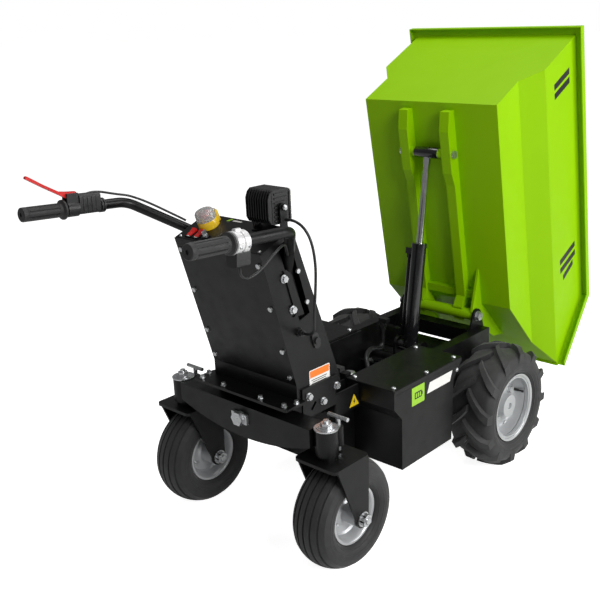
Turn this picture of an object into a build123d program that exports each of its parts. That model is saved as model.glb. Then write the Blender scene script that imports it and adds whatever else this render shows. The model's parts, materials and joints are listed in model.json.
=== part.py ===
"""Power wheelbarrow: battery-electric mini dumper with a hydraulic tipping skip.

+X is the way it drives, +Y is its left side, +Z is up, and Z = 0 is the ground.
Profiles are drawn in axle coordinates: x = 0 is above the drive axle.
The skip is drawn fully tipped, which is its rest pose here.
"""
import math
import os

from build123d import *

# ---------------------------------------------------------------- driving dimensions, mm
AXLE_X = 272.2              # drive axle, from the middle of the whole machine
SHEET = 3.0                 # folded sheet steel
PLATE = 6.0                 # structural plate
FIT = 0.05                  # radial running clearance of a pin or shaft

WHEEL_R, WHEEL_W, WHEEL_Y = 165.0, 126.0, 246.0
CASTER_R, CASTER_W = 128.0, 98.0
KINGPIN_X, KINGPIN_Y, CASTER_TRAIL = -666.0, 232.0, 43.0
BEAM_PIVOT_Z = 313.0

PIVOT_X, PIVOT_Z = 85.0, 364.0          # skip hinge
TIP = 80.0                              # skip angle at rest, degrees
FLOOR_H, FOLD_U = 37.0, -21.0           # skip floor above the hinge, front fold behind it
SKIP_L, SKIP_WALL, SKIP_LEAN = 564.0, 336.0, 102.0
SKIP_BOTTOM, SKIP_TOP = 209.0, 255.0    # half widths
BAND_1, BAND_2 = 107.0, 163.0           # heights of the two side folds
LIP_U, LIP_W, RIM_BEND = 252.0, 169.0, 93.0
RIM = 22.0
TUB_T = 2.5

EYE_X, EYE_Z = 22.0, 815.0              # cylinder rod eye
BASE_X, BASE_Z = -60.0, 290.0           # cylinder base eye
BARREL_R, ROD_R, EYE_R = 20.0, 9.0, 14.0
BARREL_TOP = 288.0                      # barrel end, measured from the base eye

BOX_IN, BOX_OUT, BOX_BOTTOM, LID_Z = 98.0, 242.0, 140.0, 344.0
BOX_REAR, BOX_STEP, BOX_TOE, BOX_FRONT = -446.0, -417.0, -212.0, -168.0
CONSOLE_Y = 133.0
DECK_Z = 366.0
GRIP_R, TUBE_R = 15.0, 11.0

os.makedirs("parts", exist_ok=True)

# ---------------------------------------------------------------- planes and helpers
SIDE = Plane(origin=(AXLE_X, 0, 0), x_dir=(1, 0, 0), z_dir=(0, -1, 0))    # x, z seen from the right
TOP = Plane(origin=(AXLE_X, 0, 0))                                        # x, y
CROSS = Plane(origin=(AXLE_X, 0, 0), x_dir=(0, 1, 0), z_dir=(1, 0, 0))    # y, z seen from the front


def at(x, y, z):
    """A point given in axle coordinates."""
    return Vector(AXLE_X + x, y, z)


def side_prism(points, y_low, y_high, mode=Mode.ADD):
    """Extrude an x-z outline between two y values."""
    with BuildSketch(SIDE.offset(-y_high)) as outline:
        Polygon(*points, align=None)
    extrude(outline.sketch, amount=y_high - y_low, mode=mode)


def both_sides(points, inner, outer, mode=Mode.ADD):
    """The same side prism on the left and on the right."""
    side_prism(points, inner, outer, mode)
    side_prism(points, -outer, -inner, mode)


def block(x0, x1, y0, y1, z0, z1, mode=Mode.ADD):
    side_prism([(x0, z0), (x1, z0), (x1, z1), (x0, z1)], y0, y1, mode)


def round_y(x, z, radius, y0, y1, mode=Mode.ADD):
    """A round bar or bore along Y."""
    with BuildSketch(SIDE.offset(-y1)) as section:
        with Locations((x, z)):
            Circle(radius)
    extrude(section.sketch, amount=y1 - y0, mode=mode)


def round_x(y, z, radius, x0, x1, mode=Mode.ADD):
    with BuildSketch(CROSS.offset(x0)) as section:
        with Locations((y, z)):
            Circle(radius)
    extrude(section.sketch, amount=x1 - x0, mode=mode)


def round_z(x, y, radius, z0, z1, mode=Mode.ADD):
    with BuildSketch(TOP.offset(z0)) as section:
        with Locations((x, y)):
            Circle(radius)
    extrude(section.sketch, amount=z1 - z0, mode=mode)


def hexagon(plane, across, thickness):
    """A nut or bolt head standing on a plane."""
    with BuildSketch(plane) as section:
        RegularPolygon(across / math.sqrt(3), 6)
    extrude(section.sketch, amount=thickness)


def disc(plane, radius, thickness, mode=Mode.ADD):
    with BuildSketch(plane) as section:
        Circle(radius)
    extrude(section.sketch, amount=thickness, mode=mode)


def route(points, closeness=0.45):
    """Corner radii of a cable route: each arc as large as its two runs allow."""
    radii = []
    for before, here, after in zip(points, points[1:], points[2:]):
        run_in, run_out = here - before, after - here
        turn = math.radians(run_in.get_angle(run_out))
        radii.append(closeness * min(run_in.length, run_out.length) / math.tan(turn / 2))
    return radii


def cable(points, radius):
    """A round cable along straight runs joined by tangent arcs."""
    with BuildLine() as path:
        FilletPolyline(*points, radius=route(points))
    with BuildSketch(Plane(origin=path.line @ 0, z_dir=path.line % 0)) as section:
        Circle(radius)
    sweep(section.sketch, path=path.line)


def save(builder, name):
    builder.part.label = name
    export_step(builder.part, f"parts/{name}.step")


SIDES = {"left": 1, "right": -1}

# ---------------------------------------------------------------- main frame
SPINE_IN, SPINE_OUT = 90.0, 96.0
MEMBER_IN, MEMBER_OUT = 125.0, 156.0
EAR_IN = 119.0
LUG_IN, LUG_OUT = 36.0, 44.0
BASE_TUBE_Z = 238.0
SPINE_BOTTOM = 134.0
SPINE = [(-636, 288), (-500, 288), (-500, SPINE_BOTTOM), (-160, SPINE_BOTTOM), (-160, 345), (-500, 345),
         (-512, DECK_Z), (-636, DECK_Z)]
WING_REAR, WING_FRONT, WING_TOP = -528.0, -448.0, 345.0      # upright plates just behind the side boxes
CONSOLE_FOOT = [(-636, 322), (-528, 322), (-528, 356), (-512, 356), (-512, 382), (-524, 394), (-636, 394)]

with BuildPart() as main_frame:
    both_sides(SPINE, SPINE_IN, SPINE_OUT)
    block(-500, -160, -SPINE_OUT, SPINE_OUT, SPINE_BOTTOM, SPINE_BOTTOM + 5)
    block(-505, -500, -SPINE_OUT, SPINE_OUT, SPINE_BOTTOM, 293)
    block(-636, -500, -SPINE_OUT, SPINE_OUT, 288, 293)
    block(-636, -628, -SPINE_OUT, SPINE_OUT, 288, DECK_Z)
    block(-445, -425, -SPINE_OUT, SPINE_OUT, 325, 357)
    with BuildSketch(TOP.offset(DECK_Z)):
        with Locations((-668, 0)):
            RectangleRounded(64, 300, 6)
        with Locations((-573, 0)):
            Rectangle(136, 2 * CONSOLE_Y)
    extrude(amount=PLATE)
    both_sides(CONSOLE_FOOT, CONSOLE_Y, CONSOLE_Y + 5)
    both_sides([(-612, 340), (-607, 335), (-592, 350), (-597, 355)], CONSOLE_Y, CONSOLE_Y + 5, Mode.SUBTRACT)
    both_sides([(WING_REAR, 288), (WING_FRONT, 288), (WING_FRONT, WING_TOP), (WING_REAR, WING_TOP)],
               CONSOLE_Y, CONSOLE_Y + 5)
    both_sides([(WING_REAR, 288), (WING_FRONT, 288), (WING_FRONT, 293), (WING_REAR, 293)],
               SPINE_IN, CONSOLE_Y)
    block(-166, -160, -MEMBER_OUT, MEMBER_OUT, 200, 262)
    both_sides([(-166, 200), (-160, 200), (-160, 332), (-166, 332)], SPINE_IN, MEMBER_OUT)
    both_sides([(-166, 232), (100, 232), (100, 332), (-166, 332)], MEMBER_IN, MEMBER_OUT)
    both_sides([(-156, 236), (96, 236), (96, 328), (-156, 328)], MEMBER_IN + 4, MEMBER_OUT - 4, Mode.SUBTRACT)
    both_sides([(-42, 236), (42, 236), (34, 165), (-34, 165)], 130, 151)
    round_y(0, 165, 27 + FIT, -160, 160, Mode.SUBTRACT)
    block(-30, 100, -MEMBER_IN, MEMBER_IN, 258, 262)
    block(60, 100, -MEMBER_IN, MEMBER_IN, 285, 325)
    block(64, 96, -MEMBER_IN, MEMBER_IN, 289, 321, Mode.SUBTRACT)
    both_sides([(40, 300), (128, 300), (104, 371), (66, 371)], EAR_IN, MEMBER_IN)
    for side in SIDES.values():
        y_low, y_high = sorted((side * EAR_IN, side * MEMBER_IN))
        round_y(PIVOT_X, PIVOT_Z, 20, y_low, y_high)
        round_y(PIVOT_X, PIVOT_Z, 8 + FIT, y_low, y_high, Mode.SUBTRACT)
        lug_low, lug_high = sorted((side * LUG_IN, side * LUG_OUT))
        round_y(BASE_X, BASE_Z, 20, lug_low, lug_high)
    round_y(BASE_X, BASE_TUBE_Z, 17, -MEMBER_IN - 2, MEMBER_IN + 2)
    both_sides([(-82, BASE_TUBE_Z), (-38, BASE_TUBE_Z), (-40, BASE_Z), (-80, BASE_Z)], LUG_IN, LUG_OUT)
save(main_frame, "main_frame")

with BuildPart() as rest_pads:                     # rubber pads that the lowered skip sits on
    both_sides([(-444, 357), (-426, 357), (-427, 366.4), (-443, 366.4)], 54, 78)
save(rest_pads, "rest_pads")

# ---------------------------------------------------------------- side boxes, lids and batteries
BOX = [(BOX_REAR, LID_Z), (BOX_REAR, 304), (BOX_STEP, 271), (BOX_STEP, BOX_BOTTOM), (BOX_TOE, BOX_BOTTOM),
       (-205, 300), (BOX_FRONT, LID_Z)]
BOX_INSIDE = [(BOX_REAR + SHEET, LID_Z + 1), (BOX_REAR + SHEET, 305.2), (BOX_STEP + SHEET, 272.2),
              (BOX_STEP + SHEET, BOX_BOTTOM + SHEET), (BOX_TOE - SHEET, BOX_BOTTOM + SHEET), (-208, 301),
              (BOX_FRONT - SHEET, LID_Z + 1)]

for name, side in SIDES.items():
    inner, outer = sorted((side * BOX_IN, side * BOX_OUT))
    with BuildPart() as battery_box:
        side_prism(BOX, inner, outer)
        side_prism(BOX_INSIDE, inner + SHEET, outer - SHEET, Mode.SUBTRACT)
    save(battery_box, f"battery_box_{name}")

    with BuildPart() as box_lid:
        block(BOX_REAR, BOX_FRONT, inner, outer, LID_Z, LID_Z + PLATE)
        fillet(box_lid.edges().filter_by(Axis.Z), 4)
        chamfer(box_lid.faces().sort_by(Axis.Z)[-1].edges(), 1.2)
        block(BOX_REAR + 7, -184, inner + 4, outer - 4, LID_Z - 8, LID_Z)
        block(BOX_REAR + 12, -189, inner + 9, outer - 9, LID_Z - 8, LID_Z, Mode.SUBTRACT)
    save(box_lid, f"box_lid_{name}")

BATTERY_MID_Y = (BOX_IN + BOX_OUT) / 2
with BuildPart() as batteries:
    for side in SIDES.values():
        low, high = sorted((side * (BATTERY_MID_Y - 62), side * (BATTERY_MID_Y + 62)))
        block(BOX_STEP + 13, BOX_TOE - 12, low, high, BOX_BOTTOM + SHEET, 286)
        for post_x in (BOX_STEP + 29, BOX_TOE - 28):
            round_z(post_x, side * BATTERY_MID_Y, 7, 286, 298)
save(batteries, "batteries")

# ---------------------------------------------------------------- drive train
with BuildPart() as transaxle:
    round_y(0, WHEEL_R, 70, -46, 46)
    fillet(transaxle.edges().filter_by(GeomType.CIRCLE), 8)
    round_y(0, WHEEL_R, 27, -168, 168)
    round_x(0, WHEEL_R, 46, 0, 74)
save(transaxle, "transaxle")

with BuildPart() as drive_motor:
    round_x(0, WHEEL_R, 52, 74, 190)
    round_x(0, WHEEL_R, 40, 190, 202)
    with BuildSketch(CROSS.offset(90)):
        with Locations((0, WHEEL_R)):
            with PolarLocations(52, 18):
                Rectangle(5, 3)
    extrude(amount=86)
save(drive_motor, "drive_motor")

for name, side in SIDES.items():
    mid = side * WHEEL_Y
    axle_end = side * 168.2
    with BuildPart() as drive_rim:
        round_y(0, WHEEL_R, 88, mid - 55, mid + 55)
        round_y(0, WHEEL_R, 78, mid - 56, mid + 56, Mode.SUBTRACT)
        for edge in (mid - 55, mid + 51):
            round_y(0, WHEEL_R, 92, edge, edge + 4)
            round_y(0, WHEEL_R, 80, edge, edge + 4, Mode.SUBTRACT)
        plate_low, plate_high = sorted((mid + side * 12, mid + side * 18))
        round_y(0, WHEEL_R, 79, plate_low, plate_high)
        hub_low, hub_high = sorted((axle_end, mid + side * 40))
        round_y(0, WHEEL_R, 30, hub_low, hub_high)
        bolt_low, bolt_high = sorted((mid + side * 18, mid + side * 28))
        for angle in range(0, 360, 90):
            bolt = math.radians(angle + 45)
            round_y(46 * math.cos(bolt), WHEEL_R + 46 * math.sin(bolt), 9, bolt_low, bolt_high)
    save(drive_rim, f"drive_rim_{name}")

    with BuildPart() as drive_tyre:
        with BuildSketch(Plane.YZ.offset(AXLE_X)):
            with BuildLine():
                Polyline((mid - 50, WHEEL_R + 93), (mid - WHEEL_W / 2, WHEEL_R + 122),
                         (mid - 58, WHEEL_R + 152), (mid - 44, 2 * WHEEL_R - 3))
                ThreePointArc((mid - 44, 2 * WHEEL_R - 3), (mid, 2 * WHEEL_R), (mid + 44, 2 * WHEEL_R - 3))
                Polyline((mid + 44, 2 * WHEEL_R - 3), (mid + 58, WHEEL_R + 152),
                         (mid + WHEEL_W / 2, WHEEL_R + 122), (mid + 50, WHEEL_R + 93),
                         (mid - 50, WHEEL_R + 93))
            make_face()
        revolve(axis=Axis((AXLE_X, 0, WHEEL_R), (0, 1, 0)))
    save(drive_tyre, f"drive_tyre_{name}")

# ---------------------------------------------------------------- hydraulics in the spine
with BuildPart() as hydraulic_tank:
    block(-484, -386, -86, 86, SPINE_BOTTOM + 8, 312)
    fillet(hydraulic_tank.edges().filter_by(Axis.Z), 10)
    round_z(-402, -70, 11, 312, 322)
    round_z(-402, -70, 15.5, 322, 338)
    fillet(hydraulic_tank.faces().sort_by(Axis.Z)[-1].edges(), 2)
save(hydraulic_tank, "hydraulic_tank")

with BuildPart() as power_unit:
    round_x(0, 206, 44, -384, -262)
    block(-262, -204, -34, 34, 172, 242)
    round_z(-222, 20, 9, 242, 256)
save(power_unit, "power_unit")

HOSE_TOP = at(-70, 88, 344)
HOSE = [at(-222, 20, 256), at(-222, 20, 274), at(-212, 32, 291), at(-190, 48, 297), at(-160, 62, 296),
        at(-130, 74, 288), at(-102, 83, 275), at(-82, 88, 272), at(-71, 88.4, 282), at(-70, 88, 300),
        at(-70, 88, 322)]
with BuildPart() as hydraulic_hose:
    cable(HOSE, 6.5)
    disc(Plane(origin=at(-70, 88, 322)), 8.5, 26)
    hexagon(Plane(origin=at(-70, 88, 330)), 20, 9)
    block(-78, -62, 68, 96, 348, 358)
save(hydraulic_hose, "hydraulic_hose")

# ---------------------------------------------------------------- rear axle beam, kingpins and locks
with BuildPart() as rear_beam:
    with BuildSketch(CROSS.offset(-694)):
        with BuildLine():
            Line((-209, 300), (-209, 342))
            Line((-209, 342), (209, 342))
            Line((209, 342), (209, 300))
            ThreePointArc((209, 300), (0, 264), (-209, 300))
        make_face()
    extrude(amount=52)
    for side in SIDES.values():
        low, high = sorted((side * 28, side * 200))
        block(-688, -648, low, high, 296, 336, Mode.SUBTRACT)
    round_x(0, BEAM_PIVOT_Z, 15 + FIT, -695, -641, Mode.SUBTRACT)
    for side in SIDES.values():
        round_z(KINGPIN_X, side * KINGPIN_Y, 25, 284, 342)
        round_z(-628, side * KINGPIN_Y, 11, 290, 334)
        block(-660, -628, side * KINGPIN_Y - 6, side * KINGPIN_Y + 6, 290, 334)
        round_z(KINGPIN_X, side * KINGPIN_Y, 12 + FIT, 284, 342, Mode.SUBTRACT)
        round_z(-628, side * KINGPIN_Y, 5 + FIT, 290, 334, Mode.SUBTRACT)
save(rear_beam, "rear_beam")

with BuildPart() as kingpin_caps:
    for side in SIDES.values():
        centre = side * KINGPIN_Y
        round_z(KINGPIN_X, centre, 21.5, 342, 347)
        hexagon(Plane(origin=at(KINGPIN_X, centre, 347)), 22, 9)
        round_z(KINGPIN_X, centre, 6, 356, 362)
save(kingpin_caps, "kingpin_caps")

with BuildPart() as beam_pivot:
    round_x(0, BEAM_PIVOT_Z, 15, -700, -636)
    block(-701, -695, -24, 24, 301, 325)
    hexagon(Plane(origin=at(-701, 0, BEAM_PIVOT_Z), x_dir=(0, 1, 0), z_dir=(-1, 0, 0)), 30, 9)
save(beam_pivot, "beam_pivot")

for name, side in SIDES.items():
    centre = side * KINGPIN_Y
    with BuildPart() as lock_pin:
        round_z(-628, centre, 5, 278, 352)
        round_y(-628, 355, 4.5, centre - 27, centre + 27)
    save(lock_pin, f"lock_pin_{name}")

# ---------------------------------------------------------------- casters
CASTER_X = KINGPIN_X + CASTER_TRAIL
ARM_IN, ARM_OUT = 54.5, 59.5
for name, side in SIDES.items():
    mid = side * KINGPIN_Y
    with BuildPart() as caster_fork:
        with BuildSketch(TOP.offset(267)):
            with Locations((KINGPIN_X + 14, mid)):
                RectangleRounded(112, 2 * ARM_OUT, 12)
        extrude(amount=7)
        round_z(KINGPIN_X, mid, 20, 274, 283.7)
        round_z(KINGPIN_X, mid, 12, 283, 341.5)
        for hand in (1, -1):
            low, high = sorted((mid + hand * ARM_IN, mid + hand * ARM_OUT))
            side_prism([(-700, 270), (-600, 270), (-604, 128), (-640, 120)], low, high)
            round_y(CASTER_X, CASTER_R, 21, low, high)
            face = Plane(origin=at(CASTER_X, mid + hand * ARM_OUT, CASTER_R), x_dir=(1, 0, 0),
                         z_dir=(0, hand, 0))
            hexagon(face, 24, 12)
        round_y(CASTER_X, CASTER_R, 8, mid - 76, mid + 76)
    save(caster_fork, f"caster_fork_{name}")

    with BuildPart() as caster_rim:
        round_y(CASTER_X, CASTER_R, 62, mid - 36, mid + 36)
        round_y(CASTER_X, CASTER_R, 54, mid - 37, mid + 37, Mode.SUBTRACT)
        for edge in (mid - 36, mid + 33):
            round_y(CASTER_X, CASTER_R, 67.5, edge, edge + 3)
            round_y(CASTER_X, CASTER_R, 54, edge, edge + 3, Mode.SUBTRACT)
        round_y(CASTER_X, CASTER_R, 55, mid - 3, mid + 3)
        round_y(CASTER_X, CASTER_R, 22, mid - 52, mid + 52)
        round_y(CASTER_X, CASTER_R, 8 + FIT, mid - 60, mid + 60, Mode.SUBTRACT)
    save(caster_rim, f"caster_rim_{name}")

    with BuildPart() as caster_tyre:
        crown, shoulder = 2 * CASTER_R, CASTER_R + 112
        with BuildSketch(Plane.YZ.offset(AXLE_X + CASTER_X)):
            with BuildLine():
                Polyline((mid - 32.5, CASTER_R + 68), (mid - CASTER_W / 2, CASTER_R + 90),
                         (mid - 46, shoulder))
                ThreePointArc((mid - 46, shoulder), (mid, crown), (mid + 46, shoulder))
                Polyline((mid + 46, shoulder), (mid + CASTER_W / 2, CASTER_R + 90),
                         (mid + 32.5, CASTER_R + 68), (mid - 32.5, CASTER_R + 68))
            make_face()
        revolve(axis=Axis((AXLE_X + CASTER_X, 0, CASTER_R), (0, 1, 0)))
    save(caster_tyre, f"caster_tyre_{name}")

# ---------------------------------------------------------------- skip
tip = math.radians(TIP)
ALONG = (math.cos(tip), 0, -math.sin(tip))         # along the skip floor, towards its front
FOLD = (PIVOT_X + FOLD_U * math.cos(tip) + FLOOR_H * math.sin(tip),
        PIVOT_Z - FOLD_U * math.sin(tip) + FLOOR_H * math.cos(tip))
SKIP_SIDE = Plane(origin=at(FOLD[0], 0, FOLD[1]), x_dir=ALONG, z_dir=(0, -1, 0))
SKIP_CROSS = Plane(origin=at(FOLD[0], 0, FOLD[1]), x_dir=(0, 1, 0), z_dir=ALONG)
HINGE_U, HINGE_W = -FOLD_U, -FLOOR_H               # the hinge, in skip coordinates


def skip_prism(points, y_low, y_high, mode=Mode.ADD):
    """Extrude an outline given along the skip floor (u) and up from it (w)."""
    with BuildSketch(SKIP_SIDE.offset(-y_high)) as outline:
        Polygon(*points, align=None)
    extrude(outline.sketch, amount=y_high - y_low, mode=mode)


def skip_both(points, inner, outer, mode=Mode.ADD):
    skip_prism(points, inner, outer, mode)
    skip_prism(points, -outer, -inner, mode)


def skip_round(u, w, radius, y_low, y_high, mode=Mode.ADD):
    with BuildSketch(SKIP_SIDE.offset(-y_high)) as section:
        with Locations((u, w)):
            Circle(radius)
    extrude(section.sketch, amount=y_high - y_low, mode=mode)


def trough(inset):
    """Solid body of the trough, every wall moved in by inset, open end left long."""
    slope = math.atan2(LIP_W, LIP_U)
    lean = math.atan2(SKIP_LEAN, SKIP_WALL)
    rear_u = -SKIP_L + inset * math.tan(math.pi / 4 - lean / 2)
    front_u = -inset * math.tan(slope / 2)
    rise = 40.0 if inset else 0.0
    rear_top = (-SKIP_L - SKIP_LEAN + inset / math.cos(lean) - rise * math.tan(lean), SKIP_WALL + rise)
    lip = (front_u + (LIP_W + rise - inset) / math.tan(slope), LIP_W + rise)
    bend = (RIM_BEND + 1.5 * rise, SKIP_WALL + rise)
    skip_prism([(rear_u, inset), (front_u, inset), lip, bend, rear_top], -SKIP_TOP, SKIP_TOP)
    bottom, top = SKIP_BOTTOM - inset, SKIP_TOP - inset
    right = [(bottom, -1), (bottom, BAND_1), (top, BAND_2), (top, SKIP_WALL + 60)]
    with BuildSketch(SKIP_CROSS.offset(-SKIP_L - SKIP_LEAN - 60)) as section:
        Polygon(*(right + [(-y, w) for y, w in reversed(right)]), align=None)
    extrude(section.sketch, amount=SKIP_L + SKIP_LEAN + LIP_U + 150, mode=Mode.INTERSECT)


with BuildPart() as trough_inside:
    trough(TUB_T)

with BuildPart() as skip_tub:
    trough(0)
    add(trough_inside.part, mode=Mode.SUBTRACT)
    rim_in, rim_out = SKIP_TOP - TUB_T, SKIP_TOP + RIM
    rear = -SKIP_L - SKIP_LEAN
    skip_prism([(rear - RIM, SKIP_WALL), (rear + 3, SKIP_WALL), (rear + 3, SKIP_WALL + TUB_T),
                (rear - RIM, SKIP_WALL + TUB_T)], -rim_out, rim_out)
    skip_prism([(rear - RIM, SKIP_WALL + TUB_T), (rear - RIM, SKIP_WALL - 15),
                (rear - RIM + TUB_T, SKIP_WALL - 15), (rear - RIM + TUB_T, SKIP_WALL + TUB_T)],
               -rim_out, rim_out)
    strip = [(rear - RIM, SKIP_WALL), (RIM_BEND, SKIP_WALL), (LIP_U, LIP_W), (LIP_U, LIP_W + 3.5),
             (RIM_BEND + 1, SKIP_WALL + TUB_T), (rear - RIM, SKIP_WALL + TUB_T)]
    skip_both(strip, rim_in, rim_out)
    fold_down = [(rear - RIM, SKIP_WALL - 15), (RIM_BEND - 6, SKIP_WALL - 15), (LIP_U - 14, LIP_W),
                 (LIP_U, LIP_W), (LIP_U, LIP_W + 3.5), (RIM_BEND + 1, SKIP_WALL + TUB_T),
                 (rear - RIM, SKIP_WALL + TUB_T)]
    skip_both(fold_down, rim_out - TUB_T, rim_out)
    skip_round(LIP_U - 1, LIP_W - 1, 5, -SKIP_TOP, SKIP_TOP)
save(skip_tub, "skip_tub")

RAIL_IN, RAIL_OUT = 52.0, 80.0
EYE_U = (EYE_X - FOLD[0]) * math.cos(tip) - (EYE_Z - FOLD[1]) * math.sin(tip)
EYE_W = (EYE_X - FOLD[0]) * math.sin(tip) + (EYE_Z - FOLD[1]) * math.cos(tip)
RAIL = [(-SKIP_L + 18, 0), (-SKIP_L + 18, -22), (EYE_U - 62, -34), (EYE_U + 50, -34), (EYE_U + 86, -24),
        (-24, -24), (HINGE_U - 20, HINGE_W - 8), (HINGE_U + 20, HINGE_W - 8), (HINGE_U + 30, 20), (0, 0)]
BRACE = [(-106, 0), (-60, -20), (HINGE_U - 16, HINGE_W - 12), (HINGE_U + 16, HINGE_W - 12), (128, 48),
         (146, 97.9), (0, 0)]
BRACE_IN, BRACE_OUT = 111.0, 118.0
with BuildPart() as skip_underframe:
    skip_both(RAIL, RAIL_IN, RAIL_OUT)
    skip_both([(-SKIP_L + 21, -1), (-SKIP_L + 21, -19), (EYE_U - 62, -31), (EYE_U + 50, -31),
               (EYE_U + 86, -21), (-24, -21), (-24, -1)], RAIL_IN + 3, RAIL_OUT - 3, Mode.SUBTRACT)
    skip_both(BRACE, BRACE_IN, BRACE_OUT)
    skip_round(HINGE_U, HINGE_W, 16, -BRACE_OUT, BRACE_OUT)
    skip_prism([(-40, 0), (-40, -16), (-18, -16), (-18, 0)], -BRACE_IN, BRACE_IN)
    skip_round(HINGE_U, HINGE_W, 8 + FIT, -BRACE_OUT, BRACE_OUT, Mode.SUBTRACT)
    for side in SIDES.values():
        low, high = sorted((side * 37.7, side * RAIL_IN))
        skip_round(EYE_U, EYE_W, 12, low, high)
    skip_round(EYE_U, EYE_W, 7 + FIT, -RAIL_OUT, RAIL_OUT, Mode.SUBTRACT)
save(skip_underframe, "skip_underframe")

with BuildPart() as hinge_pins:
    for side in SIDES.values():
        low, high = sorted((side * 96, side * 126))
        round_y(PIVOT_X, PIVOT_Z, 8, low, high)
        head = Plane(origin=at(PIVOT_X, side * MEMBER_IN, PIVOT_Z), x_dir=(1, 0, 0), z_dir=(0, side, 0))
        disc(head, 14, 2)
        hexagon(head.offset(2), 22, 9)
save(hinge_pins, "hinge_pins")

with BuildPart() as rod_pin:
    skip_round(EYE_U, EYE_W, 7, -RAIL_OUT - 2, RAIL_OUT + 2)
    for side in SIDES.values():
        low, high = sorted((side * (RAIL_OUT + 0.2), side * (RAIL_OUT + 7)))
        skip_round(EYE_U, EYE_W, 10.5, low, high)
save(rod_pin, "rod_pin")

# ---------------------------------------------------------------- tipping cylinder
reach = math.hypot(EYE_X - BASE_X, EYE_Z - BASE_Z)
UPWARD = ((EYE_X - BASE_X) / reach, 0, (EYE_Z - BASE_Z) / reach)
CYLINDER = Plane(origin=at(BASE_X, 0, BASE_Z), x_dir=(0, 1, 0), z_dir=UPWARD)

PORTS = (36.0, BARREL_TOP - 24)                    # elbow blocks that the oil pipe joins
with BuildPart() as cylinder_barrel:
    disc(CYLINDER, BARREL_R, BARREL_TOP)
    round_y(BASE_X, BASE_Z, EYE_R, -35, 35)
    disc(CYLINDER.offset(BARREL_TOP - 12), BARREL_R + 1, 12)
    for station in PORTS:
        with BuildSketch(CYLINDER.offset(station - 8)):
            with Locations((19, 0)):
                Rectangle(38, 16)
        extrude(amount=16)
    disc(CYLINDER.offset(24), ROD_R + FIT, BARREL_TOP, Mode.SUBTRACT)
    round_y(BASE_X, BASE_Z, 8, -36, 36, Mode.SUBTRACT)
save(cylinder_barrel, "cylinder_barrel")

with BuildPart() as cylinder_pipe:                 # carries oil to the rod end of the barrel
    pipe_base = Plane(origin=CYLINDER.from_local_coords((29, 0, PORTS[0] + 8)), x_dir=(0, 1, 0), z_dir=UPWARD)
    pipe_length = PORTS[1] - PORTS[0] - 16
    disc(pipe_base, 5, pipe_length)
    hexagon(pipe_base, 14, 11)
    hexagon(pipe_base.offset(pipe_length - 11), 14, 11)
save(cylinder_pipe, "cylinder_pipe")

with BuildPart() as cylinder_rod:
    disc(CYLINDER.offset(BARREL_TOP - 22), ROD_R, reach - BARREL_TOP + 22 - EYE_R + 3)
    disc(CYLINDER.offset(reach - EYE_R - 16), 11, 16)
    round_y(EYE_X, EYE_Z, EYE_R, -37.5, 37.5)
    round_y(EYE_X, EYE_Z, 7 + FIT, -38, 38, Mode.SUBTRACT)
save(cylinder_rod, "cylinder_rod")

# ---------------------------------------------------------------- console
CONSOLE = [(-648, DECK_Z + PLATE), (-507, DECK_Z + PLATE), (-507, 385), (-640, 752), (-733, 715), (-648, 406)]
LEAN = Vector(-0.287, 0, 0.958).normalized()       # up along the leaning console
CONSOLE_TOP = Plane(origin=at(-733, 0, 715), x_dir=(93, 0, 37), z_dir=(-37, 0, 93))
CAVITY = [(-660, DECK_Z + PLATE - 1), (-510, DECK_Z + PLATE - 1), (-510, 384.5), (-642.2, 749.3), (-660, 790),
          (-760, 760), (-745, 705), (-660, 400)]
COVER = [(-648, DECK_Z + PLATE), (-645, DECK_Z + PLATE), (-645, 406.4), (-730.1, 715.8), (-733, 715),
         (-648, 406)]
SLOT_MID, SLOT_LENGTH = (-661.1, 616.5), 112.0
WINDOW = [(-683, 724), (-650, 734), (-598, 560), (-630, 550)]

with BuildPart() as console_housing:
    side_prism(CONSOLE, -CONSOLE_Y, CONSOLE_Y)
    side_prism(CAVITY, -CONSOLE_Y + SHEET, CONSOLE_Y - SHEET, Mode.SUBTRACT)
    side_prism(COVER, -CONSOLE_Y, CONSOLE_Y, Mode.SUBTRACT)
    with BuildSketch(CONSOLE_TOP.offset(-SHEET)):
        Rectangle(260, 2 * CONSOLE_Y)
    extrude(amount=20, mode=Mode.SUBTRACT)
    both_sides(WINDOW, CONSOLE_Y - SHEET - 1, CONSOLE_Y + 1, Mode.SUBTRACT)
    for y_face in (CONSOLE_Y + 1, -CONSOLE_Y + SHEET + 1):
        with BuildSketch(SIDE.offset(-y_face)):
            with Locations(SLOT_MID):
                SlotOverall(SLOT_LENGTH, 13, rotation=math.degrees(math.atan2(LEAN.Z, LEAN.X)))
        extrude(amount=SHEET + 2, mode=Mode.SUBTRACT)
save(console_housing, "console_housing")

with BuildPart() as console_cover:
    side_prism(COVER, -CONSOLE_Y, CONSOLE_Y)
save(console_cover, "console_cover")

ROCKERS = {"lift_switch": 99.0, "light_switch": 75.0}
ROCKER_T, KEY_T, KEY_Y = 24.5, 22.0, 52.0
ESTOP_T, ESTOP_Y = 61.0, 81.0
GUARD_T, GUARD_H, GUARD_PIN = ESTOP_T + 23.5, 26.5, 1.5      # hinge pin of the clear guard
ROCKER_H, ROCKER_PIN = 0.5, 1.2


def on_top(t, y, height=0.0):
    """A plane standing on the console's top panel."""
    return Plane(origin=CONSOLE_TOP.from_local_coords((t, y, height)), x_dir=CONSOLE_TOP.x_dir,
                 z_dir=CONSOLE_TOP.z_dir)


def cross_pin(t, height, radius, y_low, y_high, mode=Mode.ADD):
    """A pin, or the bore for one, that crosses the console's top along Y."""
    centre = CONSOLE_TOP.from_local_coords((t, 0, height))
    round_y(centre.X - AXLE_X, centre.Z, radius, y_low, y_high, mode)


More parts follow.
